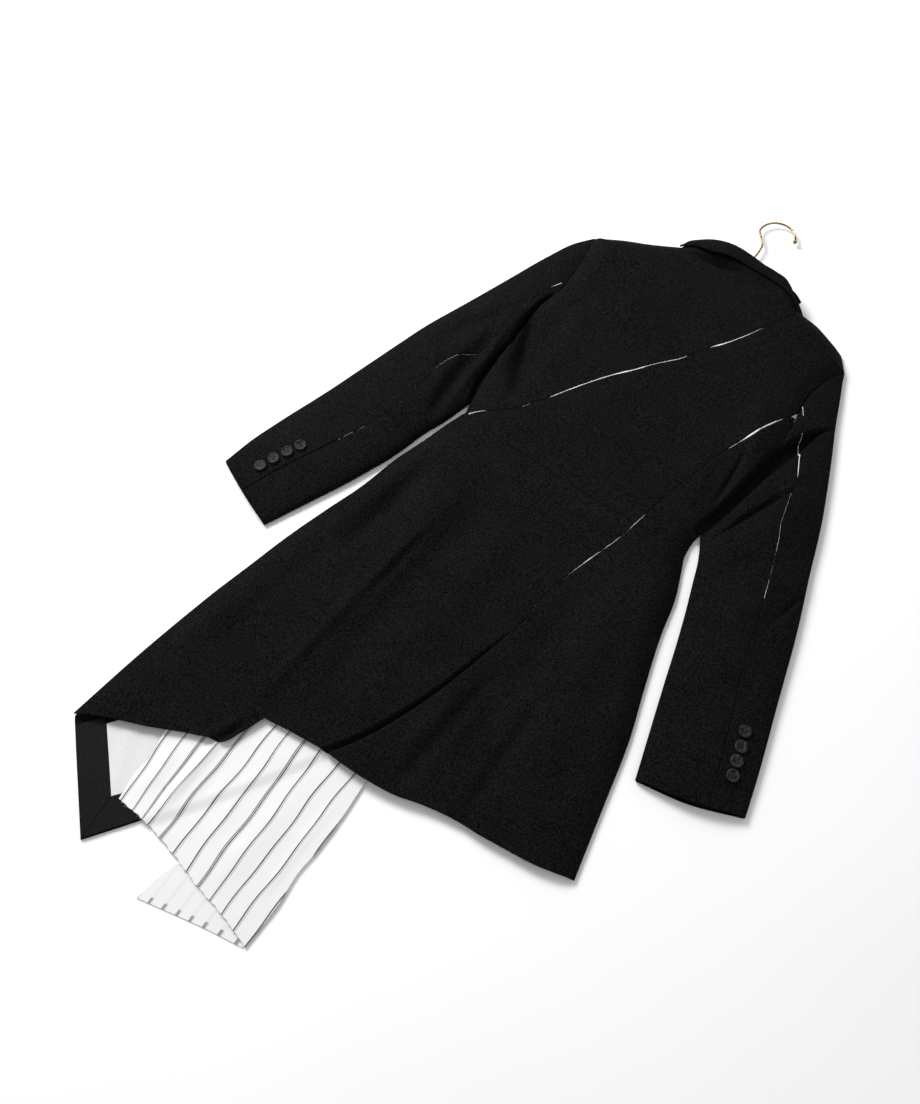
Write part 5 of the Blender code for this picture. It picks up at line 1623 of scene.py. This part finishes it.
@dataclass(frozen=True)
class Shirting:
    """The striped panel that hangs from under the hem: its upper layer and the reverse of its lower one."""

    front_edge: Pairs
    left: Pairs = ((-190, -240), (-176, -340), (-170, -381), (-162, -409), (-163, -430), (-156, -464))
    right: Pairs = ((40, -240), (43, -288), (48, -336), (50, -380), (49, -404), (54, -444), (55, -495))
    raw: Pairs = ((-156, -464), (-112, -465), (-70, -471), (-26, -480), (14, -486), (55, -495))
    under_left: Pairs = ((-15, -310), (-50, -400), (-58, -470), (-65, -496), (-68, -527))
    under_right: Pairs = ((42, -310), (46, -340), (48, -380), (50, -444), (53, -497))
    under_hem: Pairs = ((-68, -527), (-31, -517), (7, -507), (53, -497))
    folds: tuple[Fold, ...] = (
        Fold(-116, -300, -113, -464, 7, 3), Fold(-8, -320, -12, -478, 14, 1.6),
        Fold(-146, -380, -140, -450, 8, 1.5))
    creases: tuple[Fold, ...] = (
        Fold(-126, -330, -122, -440, 3, -0.8), Fold(30, -300, 36, -470, 5, 0.8),
        Fold(-60, -320, -50, -460, 7, 0.6), Fold(-90, -350, -84, -450, 6, -0.5))
    # Stripes of the upper layer: x under the hem (y = -300) and x at the raw edge (y = -470)
    stripes: Pairs = (
        (-176, -152), (-157, -135), (-134, -120), (-113, -113), (-100, -91), (-76, -70), (-59, -47),
        (-37, -25), (-18, -6), (6, 13), (27, 33), (47, 54))
    doubles: tuple[float, ...] = (3.0, 5.0, 8.0)
    ticks: Pairs = ((-84,), (-68,), (-54,), (-38,), (-22,), (-7,), (9,), (27,), (47,), (66,))

    def level(self, x: Array, y: Array) -> Array:
        """Height of the upper layer: over the tail's facing, then down beside it onto the lower layer.

        Args:
            x: Places across.
            y: Places along.

        Returns:
            Heights in millimetres.
        """
        thick = Layer.SHIRTING.value
        front = smooth(self.front_edge, 30)
        place = np.interp(y, front[::-1, 1], front[::-1, 0])
        on_tail = ease((place + 16.0 - x) / 16.0)
        low, high = thick + 0.5, Layer.FRONT.value + 0.3 + Layer.FACING.value + 0.5
        return (thick + low + (high - low) * on_tail + folds_at(x, y, self.folds)
                + folds_at(x, y, self.creases) + 0.25 + ripple(x, y, 0.25))

    def stripe_places(self, x: Array, y: Array) -> Array:
        """Stripe number as a smooth place: whole on each stripe, in even steps between and beyond them.

        Args:
            x: Places across.
            y: Places along.

        Returns:
            The numbers.
        """
        share = np.clip((-300.0 - y) / 170.0, -0.6, 1.2)
        table = np.array(self.stripes, float)
        lines = table[:, 0] + (table[:, 1] - table[:, 0]) * share[..., None]
        lines = np.concatenate((lines[..., :1] - 20.0, lines, lines[..., -1:] + 20.0), axis=-1)
        below = np.clip((lines <= x[..., None]).sum(axis=-1) - 1, 0, lines.shape[-1] - 2)
        start = np.take_along_axis(lines, below[..., None], -1)[..., 0]
        end = np.take_along_axis(lines, below[..., None] + 1, -1)[..., 0]
        wave = 0.035 * np.sin(y / 19.0 + x / 47.0) + 0.03 * np.sin(y / 11.0 - x / 15.0 + 1.0)
        return below + (x - start) / np.maximum(end - start, 1e-6) + wave

    def stripe_map(self, piece: bpy.types.Object, across: Array, down: Array) -> None:
        """Puts the stripe places on a second UV map of a cloth object."""
        add_map(piece.data, "stripes", np.tile(np.dstack((across, down)).reshape(-1, 2), (2, 1)))

    def build(self, wardrobe: Wardrobe) -> None:
        """Both layers, each a grid between its side edges and its free edge.

        Args:
            wardrobe: The finishes.
        """
        thick = Layer.SHIRTING.value
        down, across = clustered(150, 0.5, 0.92), clustered(170)
        left, right = along(smooth(self.left, 120), down), along(smooth(self.right, 120), down)
        raw = along(smooth(self.raw, 160), across)
        wander = 0.5 * np.sin(across * 61.0) + 0.35 * np.sin(across * 143.0 + 1.0)
        raw[:, 1] += wander * np.sin(math.pi * across) ** 0.3
        plan = coons(left[0] + across[:, None] * (right[0] - left[0]), raw, left, right)
        x, y = plan[..., 0], plan[..., 1]
        outer = np.dstack((plan, self.level(x, y)))
        piece = cloth_object("cloth_striped_upper", outer, outer - np.array((0.0, 0.0, 0.9 * thick)))
        number = self.stripe_places(x, y)
        doubled = np.exp(-(np.abs(number[..., None] - self.doubles) / 0.3) ** 4).sum(axis=-1)
        self.stripe_map(piece, number, doubled)
        wardrobe.dress(piece, "striped shirting", "shirting", "striped_upper")
        declare_sheet(outer)

        rows, across = clustered(90, 0.5, 0.92), clustered(80)
        left, right = along(smooth(self.under_left, 60), rows), along(smooth(self.under_right, 60), rows)
        plan = coons(left[0] + across[:, None] * (right[0] - left[0]),
                     along(smooth(self.under_hem, 60), across), left, right)
        x, y = plan[..., 0], plan[..., 1]
        outer = np.dstack((plan, thick - 0.1 + ripple(x, y, 0.12)))
        hem = smooth(self.under_hem, 40)
        ticks = np.array(self.ticks, float)[:, 0]
        number = np.interp(x + (y + 527.0) * 0.06, ticks, np.arange(len(ticks), dtype=float))
        piece = cloth_object("cloth_striped_lower", outer, outer * (1.0, 1.0, 0.0))
        self.stripe_map(piece, number, distance(x, y, hem) * MM)
        wardrobe.dress(piece, "striped shirting, reverse", "shirting", "striped_lower")
        declare_sheet(outer)


@dataclass(frozen=True)
class Hanger:
    """The shoulder bar, which keeps its own solid, and the brass hook with its ball tip."""

    wire: float = 1.35
    ball: float = 2.9
    radius: float = 25.5
    centre: tuple[float, float] = (4.5, 664.0)
    level: float = 7.3
    sweep: tuple[float, float] = (192.0, 22.0)
    tip: int = 16
    stem: Pairs = ((-2, 573.4), (-2, 600), (-2, 628), (-4, 638), (-12, 648))

    def build(self, wardrobe: Wardrobe) -> None:
        """The hook is a circle carried up the stem and round the loop, and grows into a ball at its end.

        Args:
            wardrobe: The finishes.
        """
        turns = np.radians(np.linspace(*self.sweep, 70))
        loop = np.array(self.centre) + self.radius * np.column_stack((np.cos(turns), np.sin(turns)))
        stem = np.vstack((np.array(self.stem, float), loop[:1]))
        line = np.vstack((smooth(stem, 50)[:-1], loop))
        heading = (line[-1] - line[-2]) / np.linalg.norm(line[-1] - line[-2])
        beyond = self.ball * (1.0 - np.cos(np.linspace(0.5, math.pi, self.tip)))
        line = np.vstack((line, line[-1] + heading * beyond[:, None]))
        radius = np.full(len(line), self.wire)
        radius[-self.tip:] = np.sqrt(np.maximum(self.ball**2 - (beyond - self.ball) ** 2, 0.04))
        route = np.column_stack((line, np.full(len(line), self.level)))
        hook = tube_object("wire_hanger_hook", route, radius, 24)
        wardrobe.dress(hook, "brass wire", "brass", "hanger_hook")
        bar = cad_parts["hanger_bar"]
        for entry in bar.material_slots:
            entry.material = wardrobe.by_name["dark bar"]


@dataclass(frozen=True)
class Fray:
    """Loose thread ends at the opened seams and raw edges: thin bent strands, one piece for each seam."""

    surface: BackSurface
    thick: float = 0.11
    seed: int = 7

    def strands(self, name: str, start: Array, lean: Array, size: Array, finish: str, slot: str,
                wardrobe: Wardrobe) -> None:
        """One piece of many strands.

        Each strand is a three-sided tube along start + lean * size * t, which droops with t squared.

        Args:
            name: The piece's name.
            start: Roots of the strands.
            lean: Unit directions.
            size: Lengths in millimetres.
            finish: The finish's name.
            slot: The record's slot.
            wardrobe: The finishes.
        """
        steps = np.linspace(0.0, 1.0, 5)[None, :, None]
        bend = np.cross(lean, (0.0, 0.0, 1.0)) * 0.35 * np.sin(np.arange(len(start)) * 2.3)[:, None]
        path = (start[:, None] + lean[:, None] * size[:, None, None] * steps
                + bend[:, None] * size[:, None, None] * steps**2)
        aside = np.cross(lean, (0.0, 0.0, 1.0))
        aside /= np.linalg.norm(aside, axis=1, keepdims=True) + 1e-9
        over = np.cross(aside, lean)
        turns = np.radians((90.0, 210.0, 330.0))
        slim = self.thick * (1.0 - 0.5 * steps)
        ring = np.stack([path + slim * (math.cos(turn) * aside[:, None] + math.sin(turn) * over[:, None])
                         for turn in turns], axis=2)
        count = len(start)
        index = np.arange(count * 15).reshape(count, 5, 3)
        ahead = np.roll(index, -1, axis=2)
        quads = np.stack((index[:, :-1], ahead[:, :-1], ahead[:, 1:], index[:, 1:]), axis=-1).reshape(-1, 4)
        faces = quads.tolist() + index[:, 0, ::-1].tolist() + index[:, -1].tolist()
        piece = mesh_object(name, ring.reshape(-1, 3), faces)
        piece.data.uv_layers.new(name="cloth")
        wardrobe.dress(piece, finish, slot)

    def seam(self, name: str, rows: Pairs, gaps: Pairs, count: int, wardrobe: Wardrobe) -> None:
        """White strands that lean out over the two edges of an opened seam, where it is open.

        Args:
            name: The piece's name.
            rows: The seam's stations.
            gaps: Its opening, by share of its length.
            count: How many places are tried.
            wardrobe: The finishes.
        """
        chance = np.random.default_rng(self.seed + len(name))
        shares = np.sort(chance.uniform(0.03, 0.9, count))
        shares = shares[by_share(gaps, shares) > 1.1]
        line = smooth(rows, 400)[:, :2]
        point = along(line, shares)
        run = along(line, np.clip(shares + 0.004, 0, 1)) - along(line, np.clip(shares - 0.004, 0, 1))
        run /= np.linalg.norm(run, axis=1, keepdims=True)
        side = np.where(chance.uniform(size=len(shares)) > 0.5, 1.0, -1.0)
        aside = np.column_stack((-run[:, 1], run[:, 0])) * side[:, None]
        outward = chance.uniform(0.2, 0.9, len(shares))[:, None]
        lean = aside * outward + run * chance.uniform(-1, 1, len(shares))[:, None]
        lean = np.column_stack((lean, chance.uniform(0.0, 0.12, len(shares))))
        lean /= np.linalg.norm(lean, axis=1, keepdims=True)
        root = point - aside * (by_share(gaps, shares) * 0.3)[:, None]
        level = self.surface.top(point[:, 0], point[:, 1]) + 0.15
        self.strands(name, np.column_stack((root, level)), lean, chance.uniform(1.0, 2.6, len(shares)),
                     "white thread", "lining_white", wardrobe)

    def raw_edge(self, name: str, shirting: Shirting, count: int, wardrobe: Wardrobe) -> None:
        """White strands past the raw edge of the striped panel.

        Args:
            name: The piece's name.
            shirting: The striped panel.
            count: How many.
            wardrobe: The finishes.
        """
        chance = np.random.default_rng(self.seed)
        shares = np.sort(chance.uniform(0.02, 0.98, count))
        point = along(smooth(shirting.raw, 200), shares)
        lean = np.column_stack((chance.uniform(-0.5, 0.5, count), -np.ones(count), np.full(count, -0.12)))
        lean /= np.linalg.norm(lean, axis=1, keepdims=True)
        level = shirting.level(point[:, 0], point[:, 1]) - 0.4
        start = np.column_stack((point[:, 0], point[:, 1] + 0.6, level))
        self.strands(name, start, lean, chance.uniform(1.2, 3.6, count), "white thread", "shirting", wardrobe)

    def build(self, shirting: Shirting, wardrobe: Wardrobe) -> None:
        """Builds the strands of each seam and raw edge.

        Args:
            shirting: The striped panel.
            wardrobe: The finishes.
        """
        cut = self.surface.outline
        self.seam("fray_diagonal", cut.diagonal, cut.diagonal_gap, 130, wardrobe)
        self.seam("fray_side_back", cut.side_back, cut.side_back_gap, 60, wardrobe)
        self.seam("fray_skirt", cut.skirt, cut.skirt_gap, 100, wardrobe)
        self.raw_edge("fray_striped_upper", shirting, 170, wardrobe)


@dataclass(frozen=True)
class Studio:
    """Floor, light and the camera at the photograph's angle."""

    eye: tuple[float, float, float] = (346.05, -516.94, 1222.46)
    target: tuple[float, float, float] = (-48.0, 0.0, 0.0)
    lens: float = 45.0
    floor_half: float = 6.0
    floor_level: float = -0.0004
    key_from: tuple[float, float, float] = (-1.6, 0.4, 1.45)
    key_power: float = 54.0
    key_size: float = 0.9
    sky: float = 0.56

    def floor(self) -> None:
        """A white floor under the jacket, out of its box."""
        material, tree, shader = new_material("white floor")
        nodes, links = tree.nodes, tree.links
        noise = nodes.new('ShaderNodeTexNoise')
        put(noise, Scale=3.0)
        links.new(nodes.new('ShaderNodeTexCoord').outputs["Object"], noise.inputs["Vector"])
        colour = add_ramp(tree, noise.outputs["Fac"], (0.93, 0.93, 0.93), (0.96, 0.96, 0.96))
        links.new(colour, shader.inputs["Base Color"])
        put(shader, Roughness=0.95, Specular_IOR_Level=0.1)
        mesh = bpy.data.meshes.new("floor")
        half = self.floor_half
        corners = ((-half, -half), (half, -half), (half, half), (-half, half))
        mesh.from_pydata([(x, y, self.floor_level) for x, y in corners], [], [(0, 1, 2, 3)])
        mesh.materials.append(material)
        floor = bpy.data.objects.new("floor", mesh)
        bpy.context.scene.collection.objects.link(floor)

    def light(self) -> None:
        """A large soft key from the photo's upper left, and an even white sky."""
        data = bpy.data.lights.new("key", 'AREA')
        data.energy, data.size = self.key_power, self.key_size
        key = bpy.data.objects.new("key", data)
        key.location = self.key_from
        key.rotation_euler = (-Vector(self.key_from)).to_track_quat('-Z', 'Y').to_euler()
        bpy.context.scene.collection.objects.link(key)
        world = bpy.data.worlds.new("studio")
        world.use_nodes = True
        background = world.node_tree.nodes["Background"]
        background.inputs["Color"].default_value = (1.0, 1.0, 1.0, 1.0)
        background.inputs["Strength"].default_value = self.sky
        bpy.context.scene.world = world

    def camera(self) -> None:
        """The camera: 62 degrees above the floor, looking up the garment from its lower right."""
        data = bpy.data.cameras.new("photo")
        data.sensor_fit, data.sensor_width, data.lens = 'HORIZONTAL', 36.0, self.lens
        data.clip_start, data.clip_end = 0.05, 50.0
        camera = bpy.data.objects.new("photo", data)
        eye, target = (Vector(in_metres(np.array(place))) for place in (self.eye, self.target))
        camera.location = eye
        camera.rotation_euler = (target - eye).to_track_quat('-Z', 'Y').to_euler()
        bpy.context.scene.collection.objects.link(camera)
        bpy.context.scene.camera = camera

    def build(self) -> None:
        """Sets up the whole studio."""
        self.floor()
        self.light()
        self.camera()
        bpy.context.scene.view_settings.view_transform = 'Standard'


def sleeves(cut: Outline) -> tuple[Sleeve, Sleeve]:
    """The two sleeves, from their tables.

    Args:
        cut: The body's outline.

    Returns:
        The left one and the right one.
    """
    left = Sleeve(
        side="left",
        armhole=tuple(map(tuple, cut.left_armhole_line)),
        outer_edge=(
            (-198, 508), (-215.5, 481), (-230, 441), (-246.5, 385), (-270, 306), (-290.5, 239), (-300, 197),
            (-309, 155), (-325, 81), (-344, 6), (-353, -35), (-358, -78)),
        inner_edge=(
            (-168, 180), (-170.5, 167), (-174, 149), (-178, 132), (-183, 117), (-188, 97), (-192, 75),
            (-198, 49), (-206, 24), (-216, -6), (-235.5, -56), (-259, -116)),
        cuff=((-358, -78), (-311, -97.5), (-259, -116)),
        rings=(
            (0, 17.5, 0.307), (0.023, 19.5, 0.319), (0.05, 20.8, 0.352), (0.075, 21.6, 0.385),
            (0.094, 22, 0.50), (0.124, 22.5, 0.615), (0.165, 22.8, 0.61), (0.214, 23, 0.575),
            (0.26, 23, 0.535), (0.308, 23, 0.507), (0.34, 22.6, 0.522), (0.365, 22.4, 0.568),
            (0.411, 22, 0.595), (0.445, 21.6, 0.652), (0.492, 21, 0.68), (0.548, 20.5, 0.662),
            (0.6, 20, 0.652), (0.659, 19.3, 0.622), (0.716, 18.6, 0.607), (0.813, 17.1, 0.578),
            (0.9, 15.2, 0.545), (1, 13, 0.507)),
        folds=(
            Fold(-250, 330, -215, 250, 14, 3.5), Fold(-262, 250, -214, 190, 12, -3.5),
            Fold(-285, 120, -215, 90, 16, 2.5), Fold(-300, 60, -240, 20, 14, -2),
            Fold(-236, 300, -206, 210, 5, -0.9), Fold(-256, 150, -212, 110, 6, -0.9),
            Fold(-220, 400, -196, 260, 8, 1.2)),
        seam_gap=(
            (0, 3.2), (0.012, 3.6), (0.022, 2.2), (0.03, 0.45), (0.04, 0.6), (0.052, 0.35), (0.068, 0.4),
            (0.072, 0.75), (0.08, 0.7), (0.086, 0.3), (0.118, 0.3), (0.125, 0.58), (0.24, 0.57), (0.25, 0.3),
            (0.262, 0.62), (0.30, 0.68), (0.34, 0.64), (0.36, 0.58), (0.37, 0.3), (0.398, 0.3), (0.401, 0.6),
            (0.408, 0.6), (0.411, 0.3), (0.441, 0.3), (0.444, 0.6), (0.45, 0.6), (0.453, 0.3), (0.483, 0.3),
            (0.486, 0.56), (0.491, 0.56), (0.494, 0.3), (0.57, 0.3), (0.58, 0.62), (0.62, 0.56),
            (0.645, 0.68), (0.66, 0.62), (0.67, 0.5), (0.70, 1.2), (1, 1.3)),
        buttons=((-313, -60), (-306, -43), (-299, -26), (-292, -9)),
        lining_reach=(0.004, 0.68),
        valleys=(
            ((-208, 290, 6, 0), (-204, 260, 9, 6), (-204, 217, 10, 10), (-201, 178, 9, 10), (-196, 146, 8, 6),
             (-191, 122, 6, 0)),
            ((-214, 325, 9, 0), (-224, 288, 14, 4.5), (-246, 252, 15, 4.5), (-260, 214, 12, 0)),
            ((-200, 345, 4, 0), (-196, 330, 4.5, -1.5), (-193, 290, 5, -2), (-190, 255, 5, -2.5),
             (-188, 210, 5, -2.5), (-184, 165, 4, 0))))
    right = Sleeve(
        side="right",
        armhole=tuple(map(tuple, cut.right_armhole_line)),
        outer_edge=(
            (193, 513.5), (199.5, 495), (206.5, 478), (221, 440), (250, 371), (281.5, 290), (302.5, 225),
            (325.5, 157), (355, 56), (381, -34), (391, -73)),
        inner_edge=(
            (170, 194), (186.5, 162), (198, 130.5), (209.5, 98.5), (224, 54.5), (238, 8), (260, -63),
            (274.5, -109.5)),
        cuff=((391, -73), (335.5, -96), (274.5, -109.5)),
        rings=(
            (0, 17.5, 0.28), (0.03, 20, 0.26), (0.07, 21.8, 0.238), (0.137, 23.5, 0.235),
            (0.231, 25, 0.235), (0.261, 24.6, 0.29), (0.308, 24, 0.35), (0.361, 23.5, 0.337),
            (0.45, 22.5, 0.336), (0.508, 22, 0.344), (0.559, 21.4, 0.364), (0.629, 20.5, 0.376),
            (0.699, 19.5, 0.383), (0.773, 18.4, 0.356), (0.863, 17.2, 0.351), (1, 14, 0.341)),
        folds=(
            Fold(218, 415, 192, 290, 13, -4.5), Fold(230, 306, 188, 196, 10, -2.5),
            Fold(250, 330, 235, 200, 16, 3.5), Fold(262, 210, 215, 160, 12, -3.5),
            Fold(300, 150, 240, 120, 14, 2.5), Fold(330, 60, 262, 20, 16, -2),
            Fold(228, 380, 222, 280, 5, 0.9), Fold(290, 250, 262, 190, 6, -0.9),
            Fold(310, 210, 280, 170, 6, 0.8)),
        seam_gap=(
            (0, 3.2), (0.012, 2.6), (0.035, 1.9), (0.05, 0.35), (0.10, 0.35), (0.113, 1.5), (0.145, 1.4),
            (0.16, 2), (0.18, 1.8), (0.205, 1.7), (0.222, 0.9), (0.23, 0.3), (0.252, 0.3), (0.257, 0.95),
            (0.285, 0.95), (0.292, 0.66), (0.31, 0.62), (0.35, 0.62), (0.36, 0.7), (0.38, 0.68), (0.39, 0.6),
            (0.415, 0.59), (0.42, 0.5), (0.425, 0.61), (0.45, 0.6), (0.455, 0.5), (0.46, 0.61), (0.481, 0.7),
            (0.494, 1.4), (0.506, 0.8), (0.515, 0.3), (0.55, 0.5), (1, 0.6)),
        buttons=((341, 5), (346, -12), (351, -29), (356, -46)),
        lining_reach=(0.004, 0.6),
        valleys=(
            ((232, 306, 2, 0), (224, 290, 2.8, 4), (211, 257, 3.2, 6), (201, 229, 3.2, 5), (190, 199, 2.5, 2),
             (184, 184, 2, 0)),
            ((314, 198, 2, 0), (309, 185, 2.5, 2.5), (300, 142, 2.5, 2), (293, 120, 2, 0))))
    return left, right


def main() -> None:
    """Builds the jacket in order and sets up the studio."""
    logging.basicConfig(level=logging.INFO, format="%(message)s")
    wardrobe = Wardrobe()
    outline = Outline()
    surface = BackSurface(outline)
    front = Front(outline)
    shirting = Shirting(front.left_edge)
    Back(surface).build(wardrobe)
    for sleeve in sleeves(outline):
        sleeve.build(wardrobe)
    Collar(surface).build(wardrobe)
    front.build(wardrobe)
    shirting.build(wardrobe)
    Hanger().build(wardrobe)
    Fray(surface).build(shirting, wardrobe)
    Studio().build()


if __name__ == "__main__":
    main()
